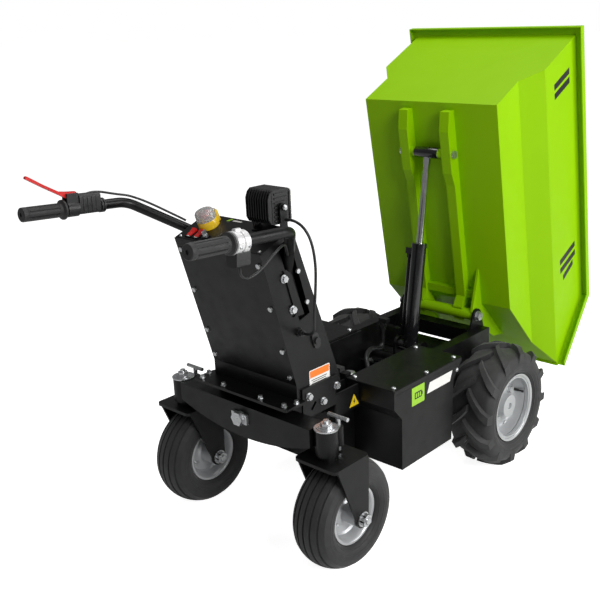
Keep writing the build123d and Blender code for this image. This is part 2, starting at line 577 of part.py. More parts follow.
with BuildPart() as console_top:
    with BuildSketch(CONSOLE_TOP.offset(-SHEET)):
        with Locations((51.9, 0)):
            Rectangle(96.2, 2 * CONSOLE_Y)
    extrude(amount=SHEET)
    for y in ROCKERS.values():
        with BuildSketch(on_top(ROCKER_T, y)):
            RectangleRounded(29.5, 21, 2)
        extrude(amount=2.5)
    for y in ROCKERS.values():
        with BuildSketch(on_top(ROCKER_T, y, 3)):
            Rectangle(25, 14)
        extrude(amount=-6.5, mode=Mode.SUBTRACT)
        cross_pin(ROCKER_T, ROCKER_H, ROCKER_PIN + FIT, y - 7.6, y + 7.6, Mode.SUBTRACT)
    disc(on_top(KEY_T, KEY_Y), 10, 3)
    disc(on_top(KEY_T, KEY_Y, 3.1), 6 + FIT, -3.1, Mode.SUBTRACT)
save(console_top, "console_top")

for name, y in ROCKERS.items():
    with BuildPart() as rocker:
        spot = on_top(ROCKER_T, y)
        with BuildSketch(Plane(origin=spot.from_local_coords((0, 6.6, 0)), x_dir=spot.x_dir,
                               z_dir=-spot.y_dir)):
            with BuildLine():
                Polyline((-10.8, 0.5), (-10.8, 2.8), (0, 4.2), (10.8, 7.8), (10.8, 0.5), (0, -1.6),
                         (-10.8, 0.5))
            make_face()
        extrude(amount=13.2)
        cross_pin(ROCKER_T, ROCKER_H, ROCKER_PIN, y - 7.4, y + 7.4)
    save(rocker, name)

with BuildPart() as key_switch:
    disc(on_top(KEY_T, KEY_Y, 0.1), 6, 6)
    with BuildSketch(on_top(KEY_T, KEY_Y, 6.1)):
        RectangleRounded(12, 2.2, 0.8)
    extrude(amount=10)
save(key_switch, "key_switch")

with BuildPart() as estop_base:
    with BuildSketch(on_top(ESTOP_T, ESTOP_Y)):
        Circle(20.5)
    extrude(amount=21, taper=4)
    with BuildSketch(on_top(ESTOP_T + 20, ESTOP_Y)):
        Rectangle(13, 22)
    extrude(amount=3)
    with BuildSketch(on_top(ESTOP_T + 23.5, ESTOP_Y)):
        with Locations((0, 9.2), (0, -9.2)):
            Rectangle(6, 3)
    extrude(amount=29)
    disc(on_top(ESTOP_T, ESTOP_Y, 12), 16, 10, Mode.SUBTRACT)
    cross_pin(GUARD_T, GUARD_H, GUARD_PIN + FIT, ESTOP_Y - 12, ESTOP_Y + 12, Mode.SUBTRACT)
save(estop_base, "estop_base")

with BuildPart() as estop_button:
    disc(on_top(ESTOP_T, ESTOP_Y, 18), 6, 12)
    disc(on_top(ESTOP_T, ESTOP_Y, 27), 14.5, 8)
    fillet(estop_button.edges().filter_by(GeomType.CIRCLE).group_by(SortBy.RADIUS)[-1], 2.5)
save(estop_button, "estop_button")

with BuildPart() as estop_cover:                   # clear flip-up guard
    disc(on_top(ESTOP_T, ESTOP_Y, 21.3), 19.4, 22)
    disc(on_top(ESTOP_T, ESTOP_Y, 21.2), 17.4, 20, Mode.SUBTRACT)
    with BuildSketch(on_top(ESTOP_T + 22, ESTOP_Y, 24)):
        Rectangle(8, 15)
    extrude(amount=5)
    cross_pin(GUARD_T, GUARD_H, GUARD_PIN, ESTOP_Y - 11.2, ESTOP_Y + 11.2)
save(estop_cover, "estop_cover")

# ---------------------------------------------------------------- console fittings
with BuildPart() as motor_controller:
    with BuildSketch(Plane(origin=at(-560, 0, 470), x_dir=(0, 1, 0), z_dir=(-0.94, 0, -0.34))):
        RectangleRounded(150, 110, 6)
    extrude(amount=36)
save(motor_controller, "motor_controller")

with BuildPart() as console_bolts:
    for z in (690, 592, 490, 425):
        x = -648 - 85 * (z - 406) / 309
        for y in (-120, 120):
            disc(Plane(origin=at(x, y, z), x_dir=(0, 1, 0), z_dir=(-309, 0, -85)), 5.5, 4)
    for side in SIDES.values():
        for x, z in ((-630, 660), (-607, 587)):
            face = Plane(origin=at(x, side * CONSOLE_Y, z), x_dir=(1, 0, 0), z_dir=(0, side, 0))
            disc(face, 5, 4)
        for x, z in ((-617, 372), (-572, 346), (-526, 368)):
            face = Plane(origin=at(x, side * (CONSOLE_Y + 5), z), x_dir=(1, 0, 0), z_dir=(0, side, 0))
            disc(face, 9, 1.6)
            hexagon(face.offset(1.6), 13, 6)
save(console_bolts, "console_bolts")

# ---------------------------------------------------------------- work light and its cable
LIGHT_X, LIGHT_Y, LIGHT_Z = -656.0, -84.0, 798.0
LIGHT_HALF_X, LIGHT_HALF_Y, LIGHT_HALF_Z = 33.0, 37.0, 36.0
with BuildPart() as work_light:
    block(LIGHT_X - 10, LIGHT_X + LIGHT_HALF_X - 3, LIGHT_Y - LIGHT_HALF_Y, LIGHT_Y + LIGHT_HALF_Y,
          LIGHT_Z - LIGHT_HALF_Z, LIGHT_Z + LIGHT_HALF_Z)
    fillet(work_light.edges().filter_by(Axis.X), 5)
    for step in range(8):
        fin_y = LIGHT_Y - 31.5 + 9 * step
        side_prism([(LIGHT_X - 10, LIGHT_Z - 32), (LIGHT_X - 10, LIGHT_Z + 34), (LIGHT_X - 20, LIGHT_Z + 34),
                    (LIGHT_X - LIGHT_HALF_X, LIGHT_Z + 16), (LIGHT_X - LIGHT_HALF_X, LIGHT_Z - 20),
                    (LIGHT_X - 26, LIGHT_Z - 32)], fin_y - 1.5, fin_y + 1.5)
save(work_light, "work_light")

with BuildPart() as light_lens:
    block(LIGHT_X + LIGHT_HALF_X - 3, LIGHT_X + LIGHT_HALF_X, LIGHT_Y - 33, LIGHT_Y + 33,
          LIGHT_Z - 32, LIGHT_Z + 32)
    fillet(light_lens.edges().filter_by(Axis.X), 4)
save(light_lens, "light_lens")

with BuildPart() as light_bracket:
    with BuildSketch(on_top(84, LIGHT_Y)):
        Rectangle(26, 84)
    extrude(amount=3)
    for hand in (1, -1):
        low, high = sorted((LIGHT_Y + hand * 38, LIGHT_Y + hand * 42))
        side_prism([(LIGHT_X - 7, 744.5), (LIGHT_X + 12, 752), (LIGHT_X + 9, LIGHT_Z),
                    (LIGHT_X - 9, LIGHT_Z)], low, high)
        round_y(LIGHT_X, LIGHT_Z, 9, low, high)
        bolt_low, bolt_high = sorted((LIGHT_Y + hand * 42, LIGHT_Y + hand * 47))
        round_y(LIGHT_X, LIGHT_Z, 6, bolt_low, bolt_high)
save(light_bracket, "light_bracket")

with BuildPart() as console_ports:                 # cable gland and charging socket
    gland = Plane(origin=at(-634, -CONSOLE_Y, 526), x_dir=(1, 0, 0), z_dir=(0, -1, 0))
    hexagon(gland, 17, 5)
    disc(gland.offset(5), 7.5, 8)
    disc(gland.offset(13), 5, 4)
    socket = Plane(origin=at(-584, -CONSOLE_Y, 493), x_dir=(0.34, 0, -0.94), z_dir=(0, -1, 0))
    with BuildSketch(socket):
        SlotOverall(40, 20)
    extrude(amount=4)
    disc(socket.offset(4), 8, 5)
save(console_ports, "console_ports")

LAMP_CABLE = [at(-648, -127.2, 771), at(-648, -139, 772), at(-646.5, -152, 769.5), at(-643.5, -165, 762),
              at(-640, -176, 748), at(-637, -183.5, 728), at(-635.5, -188, 703), at(-635, -190, 676),
              at(-637.5, -191, 648), at(-641, -191.5, 620), at(-644.5, -192, 594), at(-646, -191.5, 571),
              at(-645, -190, 554.5), at(-641, -185, 541.5), at(-637.5, -176, 532), at(-635, -164, 526.7),
              at(-634, -150.8, 526)]
with BuildPart() as lamp_cable:
    cable(LAMP_CABLE, 3.0)
save(lamp_cable, "lamp_cable")
with BuildLine() as lamp_line:
    FilletPolyline(*LAMP_CABLE, radius=route(LAMP_CABLE))
lamp_length = sum(edge.length for edge in lamp_line.edges())
print("lamp cable radii", [round(r, 1) for r in route(LAMP_CABLE)], "length", round(lamp_length, 1),
      "volume ratio", round(lamp_cable.part.volume / (math.pi * 9 * lamp_length), 3))

# ---------------------------------------------------------------- handlebar and its controls
GRIP_END, GRIP_FRONT = (-1009, 256, 799), (-765, 250, 786)
LEG = [(-668, 151, 716), (-641, 114, 655), (-606, 114, 540)]


def grip_axis(side, distance):
    """A plane across the bar, a distance forward of its rear end."""
    start, end = Vector(*GRIP_END), Vector(*GRIP_FRONT)
    along = (end - start).normalized()
    centre = start + along * distance
    return Plane(origin=at(centre.X, side * centre.Y, centre.Z), x_dir=(0, side, 0),
                 z_dir=(along.X, side * along.Y, along.Z))


with BuildPart() as handlebar:
    for side in SIDES.values():
        points = [at(x, side * y, z) for x, y, z in [GRIP_END, GRIP_FRONT] + LEG]
        with BuildLine() as bar_line:
            FilletPolyline(*points, radius=[48, 48, 40])
        with BuildSketch(Plane(origin=bar_line.line @ 0, z_dir=bar_line.line % 0)):
            Circle(TUBE_R)
        sweep(path=bar_line.line)
        low, high = sorted((side * 124.5, side * 129.5))
        side_prism([(-690, 668), (-650, 668), (-611, 560), (-664, 560)], low, high)
        low, high = sorted((side * 114, side * 125))
        side_prism([(-648, 650), (-640, 650), (-615, 570), (-623, 570)], low, high)
    round_y(-609, 552, 9, -114, 114)
save(handlebar, "handlebar")

with BuildPart() as clamp_bolts:
    for side in SIDES.values():
        for x, z in ((-671.9, 652.5), (-650.3, 580.5)):
            low, high = sorted((side * 129.7, side * (CONSOLE_Y + 1)))
            round_y(x, z, 4, low, high)
            face = Plane(origin=at(x, side * (CONSOLE_Y + 0.5), z), x_dir=(1, 0, 0), z_dir=(0, side, 0))
            disc(face, 9, 1.6)
            hexagon(face.offset(1.6), 13, 6)
save(clamp_bolts, "clamp_bolts")

with BuildPart() as grip_left:
    disc(grip_axis(1, -2), GRIP_R, 96)
    disc(grip_axis(1, 88), 21, 5)
    disc(grip_axis(1, 0), TUBE_R + 0.02, 100, Mode.SUBTRACT)
save(grip_left, "grip_left")

with BuildPart() as throttle_grip:
    disc(grip_axis(-1, -2), GRIP_R, 96)
    disc(grip_axis(-1, 88), 21, 5)
    disc(grip_axis(-1, 0), TUBE_R + FIT, 100, Mode.SUBTRACT)
save(throttle_grip, "throttle_grip")

with BuildPart() as throttle_housing:
    disc(grip_axis(-1, 97), 20, 26)
    with BuildSketch(grip_axis(-1, 97)):
        with Locations((0, 26)):
            RectangleRounded(30, 36, 5)
    extrude(amount=26)
    disc(grip_axis(-1, 96), TUBE_R + 0.02, 30, Mode.SUBTRACT)
save(throttle_housing, "throttle_housing")

LEVER_X, LEVER_Z = -895.0, 820.0                   # brake lever pivot
with BuildPart() as brake_bracket:
    disc(grip_axis(1, 97), 17, 26)
    with BuildSketch(grip_axis(1, 97)):
        with Locations((0, 19)):
            Rectangle(20, 28)
    extrude(amount=26)
    disc(grip_axis(1, 96), TUBE_R + 0.02, 30, Mode.SUBTRACT)
    lever_slot = [(-918, 808), (-882, 808), (-882, 840), (-918, 840)]
    side_prism(lever_slot, 248, 258.2, Mode.SUBTRACT)
    round_y(LEVER_X, LEVER_Z, 4, 247, 259)
save(brake_bracket, "brake_bracket")

with BuildPart() as brake_lever:
    with BuildSketch(SIDE.offset(-257)):
        with BuildLine():
            Spline((-888, 824), (-920, 838), (-960, 853), (-1006, 862))
            Line((-1006, 862), (-1006, 854))
            Spline((-1006, 854), (-960, 844), (-924, 828), (-897, 814))
            Line((-897, 814), (-888, 824))
        make_face()
    extrude(amount=8)
    round_y(LEVER_X, LEVER_Z, 9, 249, 257)
    round_y(LEVER_X, LEVER_Z, 4 + FIT, 248, 258, Mode.SUBTRACT)
save(brake_lever, "brake_lever")

BRAKE_CABLE = [at(-885.5, 253.5, 814), at(-869, 253.3, 817), at(-849, 253, 820.5), at(-827, 252.4, 818),
               at(-805, 251.6, 811.5), at(-784, 250, 805.5), at(-764, 242, 801), at(-743, 223, 790),
               at(-722, 202.5, 775), at(-702, 184, 759.5), at(-687, 170, 748), at(-676, 159.5, 739)]
THROTTLE_CABLE = [at(-896, -253.4, 745.5), at(-896, -253.4, 736), at(-889, -252.5, 726), at(-873, -251, 722),
                  at(-852, -249.5, 726), at(-830, -247.5, 736), at(-806, -245, 749), at(-782, -240.5, 758.5),
                  at(-759, -228, 757), at(-738, -210.5, 744.5), at(-719, -193, 731), at(-702, -177.5, 719.5),
                  at(-688, -165, 712)]
with BuildPart() as control_cables:
    cable(BRAKE_CABLE, 2.5)
    cable(THROTTLE_CABLE, 2.5)
save(control_cables, "control_cables")
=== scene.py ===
"""Looks of the power wheelbarrow: detailed pieces, procedural materials, light and camera."""
import json
import math
import random

import bmesh
import bpy
from mathutils import Matrix, Vector


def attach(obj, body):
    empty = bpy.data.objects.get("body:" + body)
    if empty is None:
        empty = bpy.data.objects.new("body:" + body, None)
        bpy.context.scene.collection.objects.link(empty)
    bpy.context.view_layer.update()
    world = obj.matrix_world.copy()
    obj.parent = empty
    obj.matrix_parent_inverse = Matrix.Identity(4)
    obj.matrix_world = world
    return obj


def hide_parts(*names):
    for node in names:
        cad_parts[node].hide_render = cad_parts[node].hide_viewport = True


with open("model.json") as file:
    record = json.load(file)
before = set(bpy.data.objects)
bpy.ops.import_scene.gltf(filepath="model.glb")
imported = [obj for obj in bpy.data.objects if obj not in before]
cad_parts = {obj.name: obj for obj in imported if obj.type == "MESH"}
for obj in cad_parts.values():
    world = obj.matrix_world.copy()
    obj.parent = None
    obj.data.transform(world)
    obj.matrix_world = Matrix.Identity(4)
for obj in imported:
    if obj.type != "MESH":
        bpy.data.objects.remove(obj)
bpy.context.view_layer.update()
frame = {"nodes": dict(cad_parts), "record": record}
random.seed(7)

AX = 0.2722                    # x of the drive axle in the row frame, in metres
NODES = frame["nodes"]
SIDES = (("left", 1), ("right", -1))
OUT = Vector((0, -1, 0))       # away from the machine's right side, towards the camera


def at(x, y, z):
    """Axle coordinates in millimetres to the row frame in metres."""
    return Vector((AX + x / 1000, y / 1000, z / 1000))


# ------------------------------------------------------------------ materials
COAT_ROUGHNESS = 0.08
DUST_COLOR = (0.3, 0.29, 0.27)
EDGE_REACH = 0.0022            # how far from an edge the paint is rubbed, in metres
LUMP_HEIGHT = 0.0006           # height of the smallest surface lumps, in metres
MIX_FACTOR, MIX_FIRST, MIX_SECOND, MIX_RESULT = 0, 6, 7, 2    # a colour mix's sockets


def material(name, color, rough=0.5, metal=0.0, spread=0.15, grain=60.0, bump=0.15, bump_scale=180.0,
             wear=0.0, wear_color=(0.4, 0.4, 0.4), coat=0.0, sheen=0.0, transmission=0.0, ior=1.5, dust=0.0,
             brushed=None, specular=0.5):
    """A Principled material whose colour, roughness and surface all vary by noise."""
    mat = bpy.data.materials.new(name)
    mat.use_nodes = True
    tree = mat.node_tree
    nodes, links = tree.nodes, tree.links
    shader = nodes["Principled BSDF"]
    shader.inputs["Metallic"].default_value = metal
    shader.inputs["IOR"].default_value = ior
    shader.inputs["Coat Weight"].default_value = coat
    shader.inputs["Coat Roughness"].default_value = COAT_ROUGHNESS
    shader.inputs["Sheen Weight"].default_value = sheen
    shader.inputs["Transmission Weight"].default_value = transmission
    shader.inputs["Specular IOR Level"].default_value = specular
    coords = nodes.new("ShaderNodeTexCoord")
    source = coords.outputs["Object"]
    if brushed:
        mapping = nodes.new("ShaderNodeMapping")
        mapping.inputs["Scale"].default_value = brushed
        links.new(source, mapping.inputs["Vector"])
        fine_source = mapping.outputs["Vector"]
    else:
        fine_source = source

    def noise(scale, detail, vector):
        node = nodes.new("ShaderNodeTexNoise")
        node.inputs["Scale"].default_value = scale
        node.inputs["Detail"].default_value = detail
        links.new(vector, node.inputs["Vector"])
        return node.outputs["Fac"]

    def ramp(value, low, high, out_low, out_high):
        node = nodes.new("ShaderNodeMapRange")
        node.inputs["From Min"].default_value = low
        node.inputs["From Max"].default_value = high
        node.inputs["To Min"].default_value = out_low
        node.inputs["To Max"].default_value = out_high
        links.new(value, node.inputs["Value"])
        return node.outputs["Result"]

    def mix(factor, first, second):
        node = nodes.new("ShaderNodeMix")
        node.data_type = "RGBA"
        links.new(factor, node.inputs[MIX_FACTOR])
        for socket, value in ((node.inputs[MIX_FIRST], first), (node.inputs[MIX_SECOND], second)):
            if isinstance(value, tuple):
                socket.default_value = (*value, 1)
            else:
                links.new(value, socket)
        return node.outputs[MIX_RESULT]

    broad = noise(grain * 0.12, 3, source)
    fine = noise(grain, 6, fine_source)
    shade = tuple(c * (1 - spread) for c in color)
    light = tuple(min(1, c * (1 + spread)) for c in color)
    tone = mix(ramp(broad, 0.35, 0.65, 0, 1), shade, light)
    if dust:
        geometry = nodes.new("ShaderNodeNewGeometry")
        split = nodes.new("ShaderNodeSeparateXYZ")
        links.new(geometry.outputs["Normal"], split.inputs["Vector"])
        up = ramp(split.outputs["Z"], 0.2, 1.0, 0, dust)
        patch = nodes.new("ShaderNodeMath")
        patch.operation = "MULTIPLY"
        links.new(up, patch.inputs[0])
        links.new(ramp(broad, 0.3, 0.7, 0.3, 1), patch.inputs[1])
        tone = mix(patch.outputs[0], tone, DUST_COLOR)
    if wear:
        edges = nodes.new("ShaderNodeBevel")
        edges.samples = 4
        edges.inputs["Radius"].default_value = EDGE_REACH
        geometry = nodes.new("ShaderNodeNewGeometry")
        dot = nodes.new("ShaderNodeVectorMath")
        dot.operation = "DOT_PRODUCT"
        links.new(edges.outputs["Normal"], dot.inputs[0])
        links.new(geometry.outputs["Normal"], dot.inputs[1])
        rub = ramp(dot.outputs["Value"], 0.97, 0.75, 0, 1)
        both = nodes.new("ShaderNodeMath")
        both.operation = "MULTIPLY"
        links.new(rub, both.inputs[0])
        links.new(ramp(fine, 0.5, 0.62, 0, wear), both.inputs[1])
        tone = mix(both.outputs[0], tone, wear_color)
    links.new(tone, shader.inputs["Base Color"])
    smoothest, roughest = max(0.02, rough - 0.07), min(1, rough + 0.09)
    links.new(ramp(fine, 0.3, 0.7, smoothest, roughest), shader.inputs["Roughness"])
    lumps = nodes.new("ShaderNodeBump")
    lumps.inputs["Strength"].default_value = bump
    lumps.inputs["Distance"].default_value = LUMP_HEIGHT
    links.new(noise(bump_scale, 4, fine_source), lumps.inputs["Height"])
    links.new(lumps.outputs["Normal"], shader.inputs["Normal"])
    return mat


MATS = {
    "frame_black": material("frame_black", (0.0035, 0.0035, 0.0038), 0.36, spread=0.10, grain=30, bump=0.05,
                            bump_scale=330, wear=0.08, wear_color=(0.05, 0.05, 0.05), specular=0.30),
    "skip_green": material("skip_green", (0.265, 0.535, 0.0005), 0.42, spread=0.02, grain=20, bump=0.03,
                           bump_scale=330, wear=0.10, wear_color=(0.15, 0.36, 0.01), specular=0.12),
    "red_paint": material("red_paint", (0.62, 0.012, 0.01), 0.32, spread=0.12, coat=0.4, wear=0.2,
                          wear_color=(0.3, 0.02, 0.02)),
    "lamp_black": material("lamp_black", (0.010, 0.010, 0.011), 0.42, spread=0.25, bump=0.3, bump_scale=420),
    "cylinder_black": material("cylinder_black", (0.007, 0.007, 0.008), 0.20, spread=0.2, bump=0.08,
                               coat=0.6),
    "rim_silver": material("rim_silver", (0.52, 0.53, 0.54), 0.36, metal=0.55, spread=0.08, bump=0.18,
                           bump_scale=320, wear=0.2, wear_color=(0.3, 0.3, 0.3)),
    "zinc": material("zinc", (0.60, 0.61, 0.62), 0.30, metal=0.9, spread=0.12, grain=220, bump=0.2,
                     bump_scale=500),
    "motor_steel": material("motor_steel", (0.03, 0.03, 0.033), 0.45, metal=0.3, spread=0.2, bump=0.25),
    "cast_grey": material("cast_grey", (0.16, 0.16, 0.165), 0.6, metal=0.6, spread=0.2, bump=0.6,
                          bump_scale=350),
    "chrome_rod": material("chrome_rod", (0.80, 0.81, 0.82), 0.10, metal=1.0, spread=0.03, grain=400,
                           bump=0.04, bump_scale=900, brushed=(1, 1, 0.1)),
    "tyre_rubber": material("tyre_rubber", (0.018, 0.018, 0.0185), 0.62, spread=0.25, bump=0.35,
                            bump_scale=450, sheen=0.15, dust=0.05, specular=0.4),
    "black_rubber": material("black_rubber", (0.014, 0.014, 0.014), 0.7, spread=0.2, bump=0.4,
                             bump_scale=500),
    "hose_rubber": material("hose_rubber", (0.012, 0.012, 0.013), 0.42, spread=0.2, bump=0.3,
                            bump_scale=500),
    "grip_rubber": material("grip_rubber", (0.012, 0.012, 0.012), 0.58, spread=0.25, bump=0.4,
                            bump_scale=700, sheen=0.1),
    "cable_black": material("cable_black", (0.010, 0.010, 0.011), 0.40, spread=0.2, bump=0.2,
                            bump_scale=600),
    "black_plastic": material("black_plastic", (0.013, 0.013, 0.014), 0.42, spread=0.2, bump=0.3,
                              bump_scale=600),
    "battery_grey": material("battery_grey", (0.05, 0.05, 0.055), 0.55, spread=0.15, bump=0.3),
    "tank_plastic": material("tank_plastic", (0.02, 0.02, 0.022), 0.45, spread=0.15, bump=0.3),
    "yellow_plastic": material("yellow_plastic", (0.80, 0.52, 0.01), 0.34, spread=0.08, bump=0.12, coat=0.2),
    "red_plastic": material("red_plastic", (0.62, 0.012, 0.01), 0.28, spread=0.08, bump=0.1, coat=0.3),
    "clear_plastic": material("clear_plastic", (0.86, 0.87, 0.86), 0.16, spread=0.03, bump=0.06,
                              transmission=0.75, ior=1.46),
    "clear_lens": material("clear_lens", (0.88, 0.9, 0.92), 0.1, spread=0.03, bump=0.25, bump_scale=140,
                           transmission=0.85, ior=1.46),
}
EXTRA = {
    # This white serves the printed labels and also the painted highlight strips on the rocker bezels.
    "label_and_highlight_white": material("label_and_highlight_white", (0.78, 0.77, 0.74), 0.4, spread=0.04, bump=0.05),
    "label_orange": material("label_orange", (0.85, 0.20, 0.015), 0.4, spread=0.05, bump=0.05),
    "label_green": material("label_green", (0.30, 0.58, 0.02), 0.38, spread=0.05, bump=0.05),
    "label_yellow": material("label_yellow", (0.85, 0.60, 0.01), 0.4, spread=0.05, bump=0.05),
    "label_black": material("label_black", (0.015, 0.015, 0.015), 0.4, spread=0.1, bump=0.05),
    "clamp_silver": material("clamp_silver", (0.72, 0.72, 0.72), 0.28, metal=0.35, spread=0.1, bump=0.2),
    "rib_copper": material("rib_copper", (0.10, 0.075, 0.07), 0.45, metal=0.5, spread=0.2, bump=0.3),
    "led": material("led", (0.9, 0.85, 0.6), 0.3, spread=0.05, bump=0.1),
}
SLOT_OF = {entry["node"]: entry["material_slot"] for entry in frame["record"]["subparts"]}
BODY_OF = {node: body for body, nodes in frame["record"]["behaviour"]["bodies"].items() for node in nodes}


# ------------------------------------------------------------------ mesh helpers
def new_object(name, data):
    obj = bpy.data.objects.new(name, data)
    bpy.context.scene.collection.objects.link(obj)
    return obj


def finish_piece(obj, node, slot=None, mat=None, smooth=40):
    """Give a new piece its material, slot and body: those of the CAD node it belongs to."""
    slot = slot or SLOT_OF[node]
    obj.data.materials.clear()
    obj.data.materials.append(mat or MATS[slot])
    if obj.type == "MESH" and smooth:
        for face in obj.data.polygons:
            face.use_smooth = True
        crease = obj.modifiers.new("smooth_by_angle", "EDGE_SPLIT")
        crease.split_angle = math.radians(smooth)
    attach(obj, BODY_OF[node])
    return obj


def mesh_piece(name, verts, faces, node, slot=None, mat=None, smooth=40):
    """A closed mesh of points in metres, with double points joined and its faces turned outward."""
    mesh = bpy.data.meshes.new(name)
    mesh.from_pydata([tuple(v) for v in verts], [], faces)
    obj = new_object(name, mesh)
    work = bmesh.new()
    work.from_mesh(mesh)
    bmesh.ops.remove_doubles(work, verts=work.verts, dist=1e-6)
    bmesh.ops.recalc_face_normals(work, faces=work.faces)
    work.to_mesh(mesh)
    work.free()
    return finish_piece(obj, node, slot, mat, smooth)


def lathe(name, profile, centre, axis, node, segments=128, slot=None, mat=None, smooth=40, wobble=None):
    """Turn a closed (along, radius) profile in millimetres about an axis through a point."""
    axis = Vector(axis).normalized()
    side = axis.orthogonal().normalized()
    other = axis.cross(side)
    verts, faces = [], []
    count = len(profile)
    for step in range(segments):
        angle = 2 * math.pi * step / segments
        out = side * math.cos(angle) + other * math.sin(angle)
        for index, (along, radius) in enumerate(profile):
            grow = wobble(step, index) if wobble else 0.0
            verts.append(centre + axis * (along / 1000) + out * ((radius + grow) / 1000))
    for step in range(segments):
        here, there = step * count, (step + 1) % segments * count
        for index in range(count):
            nxt = (index + 1) % count
            faces.append((here + index, here + nxt, there + nxt, there + index))
    return mesh_piece(name, verts, faces, node, slot, mat, smooth)


def slab(name, outline, origin, x_dir, normal, thickness, node, slot=None, mat=None, bevel=0.0):
    """A flat plate: an outline in millimetres on a plane, raised along the normal."""
    x_dir, normal = Vector(x_dir).normalized(), Vector(normal).normalized()
    y_dir = normal.cross(x_dir)
    count = len(outline)
    verts = []
    for height in (0, thickness):
        for x, y in outline:
            verts.append(origin + (x_dir * x + y_dir * y) / 1000 + normal * (height / 1000))
    faces = [tuple(range(count)), tuple(range(count, 2 * count))]
    faces += [(i, (i + 1) % count, count + (i + 1) % count, count + i) for i in range(count)]
    obj = mesh_piece(name, verts, faces, node, slot, mat, smooth=30)
    if bevel:
        round_over(obj, bevel)
    return obj


def round_over(obj, width_mm, segments=2, angle=35):
    """Round every edge that is sharper than an angle in degrees."""
    bevel = obj.modifiers.new("edge", "BEVEL")
    bevel.width = width_mm / 1000
    bevel.segments = segments
    bevel.limit_method = "ANGLE"
    bevel.angle_limit = math.radians(angle)
    bevel.use_clamp_overlap = True
    bevel.harden_normals = False


def hex_outline(across, turn=0.0):
    """A hexagon by its width across the flats, turned by an angle in radians."""
    reach = across / math.sqrt(3)
    angles = [turn + math.pi * corner / 3 for corner in range(6)]
    return [(reach * math.cos(angle), reach * math.sin(angle)) for angle in angles]


def rounded_rect(width, height, radius, steps=6):
    """A rectangle about its centre, with round corners."""
    x, y = width / 2 - radius, height / 2 - radius
    points = []
    for quarter, (cx, cy) in enumerate(((x, y), (-x, y), (-x, -y), (x, -y))):
        for step in range(steps + 1):
            angle = math.radians(90 * quarter + 90 * step / steps)
            points.append((cx + radius * math.cos(angle), cy + radius * math.sin(angle)))
    return points


def mirrored(profile):
    """A lathe profile's mirror image, in the order that carries its outline on."""
    return [(-along, radius) for along, radius in reversed(profile)]


WASHER = 1.4                   # thickness under a hex bolt, in millimetres


def screw(name, origin, normal, node, radius=5.0, height=4.0, kind="dome", slot="zinc"):
    """A dome-head hex-socket screw, or a hex bolt on its washer."""
    normal = Vector(normal).normalized()
    if kind == "dome":
        socket = height * 0.35
        profile = [(0, 0.0), (0, radius), (socket, radius), (height * 0.8, radius * 0.8),
                   (height, radius * 0.5), (height, radius * 0.42), (socket, radius * 0.4), (socket, 0.0)]
        lathe(name, profile, origin, normal, node, 36, slot=slot)
    else:
        hole, rim = radius * 0.4, radius * 1.3
        ring = [(0, hole), (0, rim), (WASHER, rim), (WASHER, hole)]
        lathe(name + "_washer", ring, origin, normal, node, 40, slot=slot)
        slab(name, hex_outline(radius * 1.75, random.random()), origin + normal * (WASHER / 1000),
             normal.orthogonal(), normal, height, node, slot=slot, bevel=0.6)


# ------------------------------------------------------------------ CAD nodes that stay, dressed
SOFT_EDGES = {"frame_black": 1.0, "skip_green": 1.2, "zinc": 0.5, "yellow_plastic": 0.8, "red_plastic": 0.5,
              "battery_grey": 1.5, "black_plastic": 0.6, "lamp_black": 0.8, "red_paint": 1.2}
for node, obj in NODES.items():
    slot_name = SLOT_OF[node]
    obj.data.materials.clear()
    obj.data.materials.append(MATS[slot_name])
    if slot_name in SOFT_EDGES:
        round_over(obj, SOFT_EDGES[slot_name])

# ------------------------------------------------------------------ drive wheels
WHEEL_R, WHEEL_Y = 165.0, 246.0
NUT_CIRCLE, VENT_CIRCLE = 46, 66
LUG_TOP, LUG_FOOT = 164.7, 146.0         # the lugs' radii at the middle of the tread
TREAD_HALF = 62                          # half the tread's width
SHOULDER = 0.72                          # share of that half beyond which the lug tops drop faster
LUG_FROM, LUG_OVER = -4, 66.2            # a lug starts past the middle and runs this far across
LUG_STATIONS = 9
LUG_LEAN = 0.42                          # how far round the tyre a lug's outer end trails, in radians
LUG_HALF, LUG_FLARE = 0.062, 0.022       # half a lug's width where it starts and what it gains, in radians
LUG_WALL = 62.5                          # where a lug's outer end meets the sidewall
SIDEWALL = [(-40, 92.5), (-50, 93), (-56, 98), (-62, 110), (-62.6, 122), (-60, 136), (-54, 144), (-46, 148),
            (-30, 150)]
CARCASS = SIDEWALL + [(0, 151)] + mirrored(SIDEWALL)
DISH = [(30, 91.6), (34, 88), (38, 84), (38, 80), (24, 76), (12, 74), (8, 70), (13, 58), (17, 50), (19, 44),
        (19, 33), (24, 31.5), (39.5, 30.5), (40, 28), (40, 9), (34, 8), (34, 0), (10, 0), (12, 30), (12, 44),
        (9, 58), (4, 70), (2, 76), (-40, 80), (-51, 82), (-51, 91.6), (-46, 91.8), (-46, 86), (-30, 84),
        (20, 82), (28, 86)]
FLANGE = [(50.5, 80), (50.5, 87), (52, 91.3), (54.8, 92), (54.6, 88), (52.5, 85), (40, 82), (40, 80)]
STUD = [(7, 0), (7, 5), (9, 4.6), (9.4, 0)]
VENT = [(0, 3.2), (1.4, 4.2), (1.8, 5.4), (1.2, 6.6), (0, 7)]
DRIVE_VALVE = [(-6, 0), (-6, 4), (8, 3.2), (10, 2.4), (18, 2.4), (19, 3.2), (24, 3.2), (25, 0)]


def wheel_point(centre, radius, lateral, angle):
    """A point round a wheel, in millimetres from its centre."""
    return centre + Vector((radius * math.cos(angle), lateral, radius * math.sin(angle))) / 1000


def moulded_ring(along, radius, rise, top, foot):
    """Profile of a thin ring on a tyre's side, by half its width at the top and at the foot."""
    sunk = 1.5
    return [(along - sunk, radius - foot), (along + rise, radius - top),
            (along + rise, radius + top), (along - sunk, radius + foot)]


